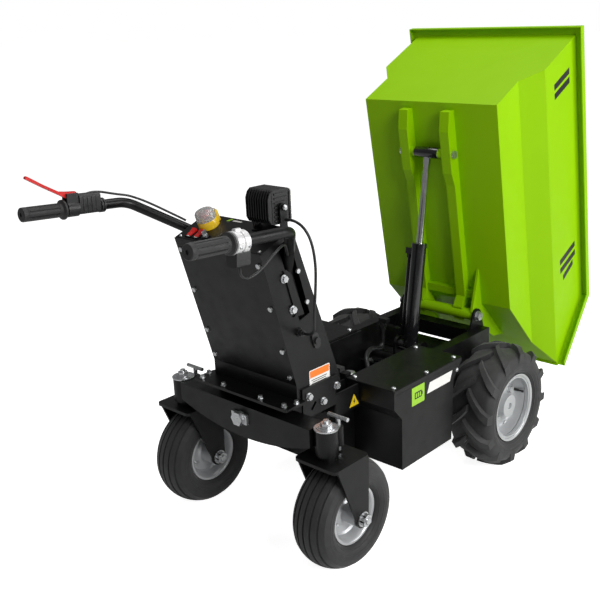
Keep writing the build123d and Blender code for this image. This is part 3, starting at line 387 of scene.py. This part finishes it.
def crown_radius(across):
    """Radius of the lug tops at a distance across the tyre."""
    share = min(1.0, abs(across) / TREAD_HALF)
    return LUG_TOP - 5.0 * share ** 2 - 9.5 * max(0, share - SHOULDER) / (1 - SHOULDER)


def chevron_lugs(name, side, node, pairs=12):
    """Slanted tractor-pattern lugs, alternating left and right around the tyre."""
    centre = at(0, side * WHEEL_Y, WHEEL_R)
    verts, faces = [], []
    for lug in range(2 * pairs):
        hand = 1 if lug % 2 else -1
        start = 2 * math.pi * lug / (2 * pairs)
        for step in range(LUG_STATIONS):
            share = step / (LUG_STATIONS - 1)
            across = hand * (LUG_FROM + LUG_OVER * share)
            turn = start + LUG_LEAN * share ** 0.85
            half = LUG_HALF + LUG_FLARE * share
            top = crown_radius(across)
            low = LUG_FOOT if share < 0.8 else LUG_FOOT - 20 * (share - 0.8) / 0.2
            for angle, radius in ((turn - half * 1.25, low), (turn - half * 0.8, top),
                                  (turn + half * 0.8, top), (turn + half * 1.25, low)):
                on_wall = radius == low and step == LUG_STATIONS - 1
                lateral = hand * LUG_WALL if on_wall else across
                verts.append(wheel_point(centre, radius, lateral, angle))
        first = len(verts) - 4 * LUG_STATIONS
        for step in range(LUG_STATIONS - 1):
            for corner in range(4):
                after = (corner + 1) % 4
                a, b = first + 4 * step, first + 4 * (step + 1)
                faces.append((a + corner, a + after, b + after, b + corner))
        faces.append(tuple(range(first, first + 4)))
        faces.append(tuple(range(len(verts) - 4, len(verts))))
    return mesh_piece(name, verts, faces, node, smooth=35)


for label, side in SIDES:
    wheel = at(0, side * WHEEL_Y, WHEEL_R)
    outward = (0, side, 0)
    tyre_node, rim_node = f"drive_tyre_{label}", f"drive_rim_{label}"
    carcass = lathe(f"drive_carcass_{label}", CARCASS, wheel, outward, tyre_node, 160)
    lugs = chevron_lugs(f"drive_lugs_{label}", side, tyre_node)
    round_over(lugs, 1.2, 2, 40)
    for ring, (along, radius) in enumerate(((61.9, 112), (62.6, 119), (58.5, 102))):
        lathe(f"drive_rib_{label}_{ring}", moulded_ring(along, radius, 0.35, 0.9, 1.6), wheel, outward,
              tyre_node, 140)
    rim = lathe(f"drive_dish_{label}", DISH, wheel, outward, rim_node, 128)
    lathe(f"drive_flange_{label}", FLANGE, wheel, outward, rim_node, 128)
    for index in range(4):
        spot = wheel_point(wheel, NUT_CIRCLE, side * 19, math.radians(45 + 90 * index))
        slab(f"drive_nut_{label}_{index}", hex_outline(17, index), spot, (1, 0, 0), outward, 8, rim_node,
             slot="zinc", bevel=1.0)
        lathe(f"drive_stud_{label}_{index}", STUD, spot, outward, rim_node, 24, slot="zinc")
    for index in range(8):
        spot = wheel_point(wheel, VENT_CIRCLE, side * 11.4, math.radians(22.5 + 45 * index))
        lathe(f"drive_vent_{label}_{index}", VENT, spot, outward, rim_node, 28)
    valve = wheel + Vector((70, side * 16, 18)) / 1000
    lathe(f"drive_valve_{label}", DRIVE_VALVE, valve, outward, rim_node, 24, slot="black_plastic")
    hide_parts(tyre_node)
    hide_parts(rim_node)

# ------------------------------------------------------------------ casters
CASTER_R, CASTER_X, KINGPIN_Y = 128.0, -623.0, 232.0
KINGPIN_X, KINGPIN_TOP = -666, 342
BOLT_CIRCLE = 38
FORK_FACE = 59.8                         # a fork leg's outer face, from the kingpin's line
GROOVES = (-33, -17, 0, 17, 33)


def caster_top(across):
    """Radius of the ribbed tread at a distance across the tyre."""
    return 127.8 - 15.5 * (abs(across) / 46) ** 2.1


CASTER_WALL = [(-24, 67.9), (-32.5, 68.2), (-41, 73), (-47.5, 82), (-48.8, 92), (-48, 102), (-45.6, 110.5)]
RIBBED = list(CASTER_WALL)
for groove in GROOVES:
    for along, depth in ((groove - 2.6, 0), (groove - 1.7, 3.6), (groove + 1.7, 3.6), (groove + 2.6, 0)):
        RIBBED.append((along, caster_top(along) - depth))
    if groove != GROOVES[-1]:
        RIBBED.append((groove + 8.5, caster_top(groove + 8.5)))
RIBBED += mirrored(CASTER_WALL)
HUB_HALF = [(31, 63), (32.5, 67.2), (35.6, 67.3), (35.8, 62.5), (33, 59), (20, 56), (10, 54), (6, 49),
            (7, 40), (9, 33), (10, 26), (14, 22), (51.5, 21.5), (51.8, 18), (51.8, 9), (46, 8.2)]
HUB_DISH = HUB_HALF + mirrored(HUB_HALF)
CASTER_VALVE = [(-6, 0), (-6, 3.5), (4, 3), (6, 2.2), (14, 2.2), (15, 3), (20, 3), (21, 0)]
AXLE_WASHER = [(0, 8), (0, 17), (1.8, 17), (1.8, 8)]
AXLE_END = [(12, 0), (12, 8.3), (15.2, 8.3), (16.4, 7.2), (16.4, 0)]
for label, side in SIDES:
    mid = side * KINGPIN_Y
    wheel = at(CASTER_X, mid, CASTER_R)
    tyre_node, rim_node, fork_node = f"caster_tyre_{label}", f"caster_rim_{label}", f"caster_fork_{label}"
    tyre = lathe(f"caster_ribbed_{label}", RIBBED, wheel, (0, 1, 0), tyre_node, 160, smooth=32)
    for ring, (along, radius) in enumerate(((48.6, 88), (48.75, 95), (44, 77))):
        for hand in (1, -1):
            lathe(f"caster_line_{label}_{ring}_{hand + 1}", moulded_ring(along, radius, 0.2, 0.7, 1.3), wheel,
                  (0, hand, 0), tyre_node, 120)
    rim = lathe(f"caster_dish_{label}", HUB_DISH, wheel, (0, 1, 0), rim_node, 112)
    for hand in (1, -1):
        for index in range(4):
            spot = wheel_point(wheel, BOLT_CIRCLE, hand * 7.4, math.radians(30 + 90 * index))
            screw(f"caster_bolt_{label}_{hand + 1}_{index}", spot, (0, hand, 0), rim_node, 4.6, 5, "hex")
    valve = wheel + Vector((40, -12, 30)) / 1000
    lathe(f"caster_valve_{label}", CASTER_VALVE, valve, OUT, rim_node, 20, slot="black_plastic")
    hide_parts(tyre_node)
    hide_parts(rim_node)
    for hand in (1, -1):
        axis = (0, hand, 0)
        nut = at(CASTER_X, mid + hand * FORK_FACE, CASTER_R)
        lathe(f"caster_washer_{label}_{hand + 1}", AXLE_WASHER, nut, axis, fork_node, 40, slot="zinc")
        slab(f"caster_nut_{label}_{hand + 1}", hex_outline(25.4, 0.4), nut + Vector((0, hand * 0.0016, 0)),
             (1, 0, 0), axis, 11.0, fork_node, slot="zinc", bevel=1.2)
        lathe(f"caster_axle_end_{label}_{hand + 1}", AXLE_END, nut, axis, fork_node, 32, slot="zinc")

    post = at(KINGPIN_X, mid, KINGPIN_TOP)
    lathe(f"kingpin_washer_{label}", [(0.2, 12), (0.2, 26.5), (2.6, 27), (3.2, 26.4), (3.2, 12)], post,
          (0, 0, 1), "kingpin_caps", 56)
    lathe(f"kingpin_washer_top_{label}", [(5.2, 11), (5.2, 16.5), (6.8, 16.5), (6.8, 11)], post, (0, 0, 1),
          "kingpin_caps", 48)

# ------------------------------------------------------------------ grips
GRIP_END, GRIP_FRONT = (-1009, 256, 799), (-765, 250, 786)
BORE, GRIP_R = 11.3, 14.9                # radii of what fits over the bar, and of the grip's outside


def grip_line(side, distance):
    """The point at a distance in millimetres from a grip's free end, and the bar's direction there."""
    start, end = Vector(GRIP_END), Vector(GRIP_FRONT)
    along = (end - start).normalized()
    spot = start + along * distance
    return at(spot.x, side * spot.y, spot.z), Vector((along.x, side * along.y, along.z)).normalized()


GRIP = [(-1.9, 4.2), (-1.9, 12.5), (-0.6, 14.4), (1, GRIP_R), (9, GRIP_R), (10.5, 14.2)]
RIB_FIRST = len(GRIP)
GRIP += [(12 + 5 * step, GRIP_R) for step in range(14)]
RIB_LAST = len(GRIP) - 1
GRIP += [(79, 14.2), (80.5, GRIP_R), (85, GRIP_R), (86.5, 17), (88.2, 20.6), (91.5, 20.9), (92.8, 20),
         (92.8, BORE), (2, BORE), (1, 10.8), (1, 4.2)]


def ribbed(step, index):
    """Long finger ribs with narrow grooves between them."""
    groove = abs((step % 15) - 7) <= 1
    return -2.5 if groove and RIB_FIRST <= index <= RIB_LAST else 0.0


for label, side, node in (("left", 1, "grip_left"), ("right", -1, "throttle_grip")):
    start, along = grip_line(side, 0)
    grip = lathe(f"ribbed_grip_{label}", GRIP, start, along, node, 120, smooth=28, wobble=ribbed)
    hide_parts(node)

# ------------------------------------------------------------------ throttle clamp and switch bodies
CLAMP = [(0, BORE), (0, 19), (1.5, 20.8), (12, 20.8), (13, 18.8), (17, 18.8), (18, 20.8), (30, 20.8),
         (31.5, 19), (31.5, BORE)]
clamp_at, clamp_dir = grip_line(-1, 95)
clamp = lathe("throttle_clamp", CLAMP, clamp_at, clamp_dir, "throttle_housing", 72, mat=EXTRA["clamp_silver"])
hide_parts("throttle_housing")
slab("throttle_body", rounded_rect(27, 31, 6), clamp_at + Vector((0, 0, -0.027)), (0, 1, 0), clamp_dir, 33,
     "throttle_housing", mat=MATS["black_plastic"], bevel=3.0)
slab("throttle_lug", rounded_rect(10, 12, 3), clamp_at + Vector((0.009, 0, 0.018)), (0, 1, 0), clamp_dir, 13,
     "throttle_housing", mat=EXTRA["clamp_silver"], bevel=1.2)
for index, distance in enumerate((101, 121)):
    spot = grip_line(-1, distance)[0]
    screw(f"throttle_screw_{index}", spot + Vector((0, -0.0203, -0.006)), OUT, "throttle_housing", 2.6, 2.4)

# ------------------------------------------------------------------ brake lever and its switch body
LEVER = [(-993, 873), (-990, 874), (-958, 853), (-924, 833), (-905, 830), (-886, 828), (-883, 820),
         (-886, 812), (-894, 810), (-904, 813), (-918, 822), (-958, 846), (-994, 869)]
lever = slab("red_lever", LEVER, at(0, 257, 0), (1, 0, 0), OUT, 8, "brake_lever", bevel=1.8)
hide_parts("brake_lever")
lathe("lever_pivot", [(0, 0), (0, 6), (2, 5.6), (3.4, 4), (3.4, 0)], at(-895, 249, 820), OUT,
      "brake_bracket", 36, slot="zinc")
switch_at, switch_dir = grip_line(1, 124)
switch_body = switch_at + Vector((0, 0, 0.008))
slab("brake_switch", rounded_rect(26, 42, 6), switch_body, (0, 1, 0), switch_dir, 50, "brake_bracket",
     bevel=2.0)
for index in range(4):
    spot = switch_body + switch_dir * (0.008 + 0.010 * index)
    slab(f"brake_switch_rib_{index}", rounded_rect(28.4, 36, 5), spot, (0, 1, 0), switch_dir, 4,
         "brake_bracket", bevel=0.8)
for index, offset in enumerate((52, 58)):
    lathe(f"brake_clamp_{index}", [(0, BORE), (0, 15.5), (4, 15.5), (4, BORE)],
          switch_at + switch_dir * (offset / 1000), switch_dir, "brake_bracket", 48)

# ------------------------------------------------------------------ work light
LIGHT = at(-656, -84, 798)
SHELL = [(-22, 33), (-22, -30), (-16, -35), (24, -35), (29, -31), (29, 31), (24, 35.5), (-16, 35.5)]
SHELL_WIDTH = 67
FIN = [(-32.5, 18), (-32.5, -22), (-26, -32), (-16, -35.8), (-14, -30), (-14, 30), (20, 33), (23, 35.9),
       (-19, 35.9), (-27, 30)]
FIN_PITCH, FIN_WIDTH = 7, 2.2
LED_CUP = [(0, 0), (0, 7.4), (2.2, 7.6), (2.2, 7), (0.6, 2.4), (0.6, 0)]
LED_PITCH = 0.018
lamp_body = slab("lamp_shell", SHELL, LIGHT + Vector((0, SHELL_WIDTH / 2000, 0)), (1, 0, 0), OUT, SHELL_WIDTH,
                 "work_light", bevel=2.0)
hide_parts("work_light")
for index in range(10):
    lateral = -31.5 + FIN_PITCH * index + FIN_WIDTH / 2
    slab(f"lamp_fin_{index}", FIN, LIGHT + Vector((0, lateral / 1000, 0)), (1, 0, 0), OUT, FIN_WIDTH,
         "work_light", bevel=0.5)
for hand in (1, -1):
    for index in range(7):
        height = -27 + 9 * index
        slab(f"lamp_ridge_{hand + 1}_{index}", rounded_rect(38, 3.4, 1.6, 4),
             LIGHT + Vector((0.002, hand * 0.0332, height / 1000)), (1, 0, 0), (0, hand, 0), 2.6,
             "work_light", bevel=0.5)
slab("lamp_bezel", rounded_rect(71, 68, 7), LIGHT + Vector((0.0255, 0, 0)), (0, 1, 0), (1, 0, 0), 4.2,
     "work_light", bevel=1.0)
for row in range(3):
    for column in range(3):
        spot = LIGHT + Vector((0.0297, (column - 1) * LED_PITCH, (row - 1) * LED_PITCH))
        lathe(f"lamp_led_{row}_{column}", LED_CUP, spot, (1, 0, 0), "work_light", 28, mat=EXTRA["led"])
for hand in (1, -1):
    lathe(f"lamp_bolt_{hand + 1}", [(0, 0), (0, 6), (1.2, 6), (3.6, 5), (4.6, 3), (4.4, 0)],
          LIGHT + Vector((0, hand * 0.0471, 0)), (0, hand, 0), "light_bracket", 32, slot="zinc")

# ------------------------------------------------------------------ cylinder, tank cap and spine fittings
SLEEVE_END = [(-37.4, 7.4), (-37.4, 13.9), (-36.4, 14.6)]
lathe("rod_eye_sleeve", SLEEVE_END + mirrored(SLEEVE_END), at(22, 0, 815), (0, 1, 0), "cylinder_rod", 56,
      slot="cylinder_black")
cap = at(-402, -70, 338)
lathe("tank_cap_top", [(0, 0), (0, 15.2), (1.2, 15.6), (3.4, 15), (4.2, 13.6), (4.2, 0)], cap, (0, 0, 1),
      "hydraulic_tank", 56, slot="zinc")
lathe("tank_cap_knurl", [(-15.5, 15), (-15.5, 16.6), (-0.5, 16.6), (-0.5, 15)], cap, (0, 0, 1),
      "hydraulic_tank", 96, wobble=lambda step, index: 0.5 if step % 4 < 2 and index in (1, 2) else 0.0)
RIB_X, RIB_Y = -505, -4
for index in range(4):
    slab(f"spine_rib_{index}", rounded_rect(104, 5, 1.5), at(RIB_X, RIB_Y, 176 + 8 * index), OUT, (-1, 0, 0),
         11, "main_frame", mat=EXTRA["rib_copper"], bevel=0.8)
slab("spine_rib_plate", rounded_rect(110, 36, 3), at(RIB_X, RIB_Y, 188), OUT, (-1, 0, 0), 4, "main_frame",
     mat=EXTRA["rib_copper"], bevel=0.8)
screw("spine_bolt", at(RIB_X, 72, 147), (-1, 0, 0), "main_frame", 5.0, 5, "hex")

# ------------------------------------------------------------------ console top
TOP_ORIGIN = at(-733, 0, 715)
TOP_X = Vector((93, 0, 37)).normalized()
TOP_N = Vector((-37, 0, 93)).normalized()
ESTOP_T, ESTOP_Y, ESTOP_RISE = 61, 81, 18


def on_top(t, y, height=0.0):
    """A point on the sloped panel: up its slope, to the left, and above it, in millimetres."""
    return TOP_ORIGIN + TOP_X * (t / 1000) + Vector((0, y / 1000, 0)) + TOP_N * (height / 1000)


COLLAR = [(0, 14), (0, 23.4), (2, 23.4), (4, 23), (15, 22.4), (17.5, 21.6), (17.5, 16.4), (12, 16), (12, 6.5),
          (3, 6.5), (3, 14)]
EAR = [(79, 0), (88, 0), (88, 24), (86, 28), (83, 28), (81.2, 24), (81.2, 3), (79, 3)]
BUTTON = [(0, 0), (0, 5.8), (9, 5.8), (9, 12), (10, 14), (13, 14.4), (15.4, 13), (16.6, 9), (17, 4), (17, 0)]
GUARD = [(0, 20.2), (0, 22.2), (15, 21.4), (18.5, 19.4), (20.4, 15), (20.4, 0), (19.1, 0), (19.1, 14.4),
         (17.5, 18), (14.8, 19.8)]
collar = lathe("estop_collar", COLLAR, on_top(ESTOP_T, ESTOP_Y), TOP_N, "estop_base", 96)
for hand in (1, -1):
    slab(f"estop_ear_{hand + 1}", EAR, on_top(0, ESTOP_Y + hand * 9.2 + 1.4), TOP_X, OUT, 2.8, "estop_base",
         bevel=0.4)
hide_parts("estop_base")
button = lathe("estop_mushroom", BUTTON, on_top(ESTOP_T, ESTOP_Y, ESTOP_RISE), TOP_N, "estop_button", 72)
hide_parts("estop_button")
guard = lathe("estop_guard", GUARD, on_top(ESTOP_T, ESTOP_Y, ESTOP_RISE), TOP_N, "estop_cover", 72)
slab("estop_guard_tab", rounded_rect(8, 14.6, 1.5), on_top(83, ESTOP_Y, 24.2), TOP_X, TOP_N, 4.4,
     "estop_cover", bevel=0.6)
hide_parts("estop_cover")
slab("panel_mark", [(0, 0), (7, 0), (14, 10), (7, 10)], on_top(86, 52), OUT, TOP_N, 0.25, "console_top",
     mat=EXTRA["label_green"])
slab("panel_stripe", [(0, 0), (26, 0), (29, 4), (3, 4)], on_top(89, 36), OUT, TOP_N, 0.25, "console_top",
     mat=EXTRA["label_and_highlight_white"])
# Thin white strips on the rocker bezels: a painted highlight that stands in for the glint on the dark bezels,
# not a printed mark.
for index, y in enumerate((99, 75)):
    slab(f"rocker_bezel_painted_highlight_{index}", rounded_rect(9, 1.6, 0.7), on_top(12.2, y, 2.4), OUT, TOP_N, 0.2,
         "console_top", mat=EXTRA["label_and_highlight_white"])
for index, (t, y) in enumerate(((10, 122), (90, 122), (10, -122), (90, -122))):
    screw(f"panel_screw_{index}", on_top(t, y), TOP_N, "console_top", 3.6, 2.6)

# ------------------------------------------------------------------ screws, labels and small fittings
DECK_TOP, LID_TOP, BOX_SIDE, BOX_MIDDLE = 372, 350, 242, -308
DECK_BOLTS = ((-688, 132), (-688, -132), (-688, 60), (-688, -60), (-660, 142), (-660, -142))
LID_SCREWS = ((-430, 112), (-430, 228), (-307, 232), (-186, 228), (-186, 112))
for index, (x, y) in enumerate(DECK_BOLTS):
    screw(f"deck_bolt_{index}", at(x, y, DECK_TOP), (0, 0, 1), "main_frame", 5.2, 6, "hex")
for label, side in SIDES:
    box_node = f"battery_box_{label}"
    for index, (x, y) in enumerate(LID_SCREWS):
        screw(f"lid_screw_{label}_{index}", at(x, side * y, LID_TOP), (0, 0, 1), f"box_lid_{label}", 6.0, 4.0)
    screw(f"box_screw_{label}", at(-192, side * BOX_SIDE, 322), (0, side, 0), box_node, 5.5, 3.8)
    slab(f"box_seam_{label}", rounded_rect(256, 3, 1.2), at(BOX_MIDDLE, side * BOX_SIDE, 337), (1, 0, 0),
         (0, side, 0), 0.5, box_node)


def sticker(name, outline, place, node, color, thickness, shift=(0, 0), rise=0.0):
    """A thin label on a face of the right side; the shift is along it, and it lies `rise` above that face."""
    spot = place + Vector((shift[0], -rise, shift[1])) / 1000
    slab(name, outline, spot, (1, 0, 0), OUT, thickness, node, mat=EXTRA[color])


BADGE = at(-354, -BOX_SIDE, 312)
BADGE_BOX = "battery_box_right"
sticker("box_badge", rounded_rect(50, 46, 2), BADGE, BADGE_BOX, "label_green", 0.3)
sticker("box_badge_cell", rounded_rect(28, 17, 2), BADGE, BADGE_BOX, "label_black", 0.2, rise=0.3)
sticker("box_badge_terminal", rounded_rect(3.6, 8, 0.8), BADGE, BADGE_BOX, "label_black", 0.2, (15.8, 0), 0.3)
for index, offset in enumerate((-8, 0, 8)):
    sticker(f"box_badge_charge_{index}", rounded_rect(5, 11, 0.8), BADGE, BADGE_BOX, "label_green", 0.15,
            (offset, 0), 0.5)
sticker("box_bar", [(0, -13), (96, -13), (107, 13), (11, 13)], at(-318, -BOX_SIDE, 314), BADGE_BOX,
        "label_and_highlight_white", 0.3)
WING = at(-465, -138, 309)
sticker("hazard_plate", [(-17, -14), (17, -14), (0, 16)], WING, "main_frame", "label_yellow", 0.3)
sticker("hazard_bolt", [(-1, -10), (4, -2), (1, -2), (3, 5), (-4, -3), (-0.8, -3)], WING, "main_frame",
        "label_black", 0.2, rise=0.3)
LABEL = at(-574, -133, 405)
sticker("warning_white", rounded_rect(66, 44, 2), LABEL, "console_housing", "label_and_highlight_white", 0.25)
sticker("warning_orange", rounded_rect(62, 16, 1.5), LABEL, "console_housing", "label_orange", 0.15, (0, 12),
        0.25)
for index in range(4):
    sticker(f"warning_line_{index}", rounded_rect(50 - 6 * (index % 2), 1.8, 0.8), LABEL, "console_housing",
            "label_black", 0.12, (-2, -2 - 4.5 * index), 0.25)

# Places on the skip's sides are (u, w) from its front fold: u along its floor and w up from that floor.
TIP = math.radians(80)
SKIP_U = Vector((math.cos(TIP), 0, -math.sin(TIP)))
SKIP_FOLD = at(85 - 21 * math.cos(TIP) + 37 * math.sin(TIP), 0, 364 + 21 * math.sin(TIP) + 37 * math.cos(TIP))
STRIPES = ((-556, 250, 84), (-532, 250, 84), (-60, 250, 90), (-34, 250, 90), (-8, 250, 60))
STRIPE_HALF, STRIPE_LEAN = 8, 26
for label, side in reversed(SIDES):
    face = SKIP_FOLD + Vector((0, side * 0.255, 0))
    for index, (u, w, length) in enumerate(STRIPES):
        low, high = w - length / 2, w + length / 2
        outline = [(u - STRIPE_HALF, low), (u + STRIPE_HALF, low),
                   (u + STRIPE_HALF - STRIPE_LEAN, high), (u - STRIPE_HALF - STRIPE_LEAN, high)]
        outline = [(x, y * -side) for x, y in outline]
        slab(f"skip_stripe_{label}_{index}", outline, face, SKIP_U, (0, side, 0), 0.3, "skip_tub",
             mat=EXTRA["label_black"])

# ------------------------------------------------------------------ the loose lamp cable
CABLE = [(-648, -127.2, 771), (-648, -139, 772), (-646.5, -152, 769.5), (-643.5, -165, 762),
         (-640, -176, 748), (-637, -183.5, 728), (-635.5, -188, 703), (-635, -190, 676),
         (-637.5, -191, 648), (-641, -191.5, 620), (-644.5, -192, 594), (-646, -191.5, 571),
         (-645, -190, 554.5), (-641, -185, 541.5), (-637.5, -176, 532), (-635, -164, 526.7),
         (-634, -150.8, 526)]
cable_data = bpy.data.curves.new("lamp_cord", "CURVE")
cable_data.dimensions = "3D"
cable_data.bevel_depth = 0.003           # its radius
cable_data.bevel_resolution = 6
cable_data.resolution_u = 12
cable_data.use_fill_caps = True
spline = cable_data.splines.new("NURBS")
spline.points.add(len(CABLE) - 1)
for point, place in zip(spline.points, CABLE):
    point.co = (*at(*place), 1)
spline.order_u = 3
spline.use_endpoint_u = True
lamp_cord = new_object("lamp_cord", cable_data)
finish_piece(lamp_cord, "lamp_cable")
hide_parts("lamp_cable")

# ------------------------------------------------------------------ camera, light and floor
IMAGE_WIDTH = 600
CAMERA = {"place": (-1881.5, -1353.3, 1149.4), "yaw": 40.6, "pitch": 17.9, "roll": -1.4, "focal": 870.7,
          "shift": (-0.0868, 0.0057)}
yaw, pitch, roll = (math.radians(CAMERA[key]) for key in ("yaw", "pitch", "roll"))
forward = Vector((math.cos(yaw) * math.cos(pitch), math.sin(yaw) * math.cos(pitch), -math.sin(pitch)))
right = Vector((math.sin(yaw), -math.cos(yaw), 0))
up = right.cross(forward)
right_rolled = right * math.cos(roll) + up * math.sin(roll)
up_rolled = up * math.cos(roll) - right * math.sin(roll)
camera_data = bpy.data.cameras.new("camera")
camera = new_object("camera", camera_data)
camera_data.sensor_width = 36
camera_data.lens = camera_data.sensor_width * CAMERA["focal"] / IMAGE_WIDTH
camera_data.shift_x, camera_data.shift_y = CAMERA["shift"]
matrix = Matrix((right_rolled, up_rolled, -forward)).transposed().to_4x4()
matrix.translation = at(*CAMERA["place"])
camera.matrix_world = matrix
bpy.context.scene.camera = camera


def area_light(name, place, target, size, power):
    """A white rectangular light at a place, turned to a target, both in metres."""
    data = bpy.data.lights.new(name, "AREA")
    data.shape = "RECTANGLE"
    data.size, data.size_y = size
    data.energy = power
    lamp = new_object(name, data)
    lamp.location = place
    lamp.rotation_euler = (Vector(target) - Vector(place)).to_track_quat("-Z", "Y").to_euler()


def camera_choice(tree, hidden, seen):
    """A value that is `seen` on what the camera looks at, and `hidden` in all light that bounces."""
    path = tree.nodes.new("ShaderNodeLightPath")
    choice = tree.nodes.new("ShaderNodeMapRange")
    choice.inputs["To Min"].default_value = hidden
    choice.inputs["To Max"].default_value = seen
    tree.links.new(path.outputs["Is Camera Ray"], choice.inputs["Value"])
    return choice.outputs["Result"]


area_light("key", (-1.0, -3.4, 2.4), (0, 0, 0.5), (1.6, 1.6), 92)
area_light("side", (1.7, -3.2, 1.6), (0.3, 0, 0.5), (1.8, 1.8), 66)
area_light("top", (0.4, 0.2, 3.4), (0.1, 0, 0.4), (2.0, 2.0), 50)

AMBIENT, FLOOR_GLOW = 0.16, 0.90
world = bpy.data.worlds.new("studio")
bpy.context.scene.world = world
world.use_nodes = True
sky = world.node_tree.nodes["Background"]
sky.inputs["Color"].default_value = (1, 1, 1, 1)
world.node_tree.links.new(camera_choice(world.node_tree, AMBIENT, 1.0), sky.inputs["Strength"])

FAR = 60
floor_mesh = bpy.data.meshes.new("floor")
floor_mesh.from_pydata([(-FAR, -FAR, 0), (FAR, -FAR, 0), (FAR, FAR, 0), (-FAR, FAR, 0)], [], [(0, 1, 2, 3)])
floor = new_object("floor", floor_mesh)
floor_paint = material("floor_pale", (0.80, 0.80, 0.80), 0.85, spread=0.01, bump=0.02, specular=0.1)
floor_tree = floor_paint.node_tree
floor_shader = floor_tree.nodes["Principled BSDF"]
floor_shader.inputs["Emission Color"].default_value = (1, 1, 1, 1)
floor_tree.links.new(camera_choice(floor_tree, 0.0, FLOOR_GLOW), floor_shader.inputs["Emission Strength"])
floor_mesh.materials.append(floor_paint)
bpy.context.scene.view_settings.view_transform = "Standard"
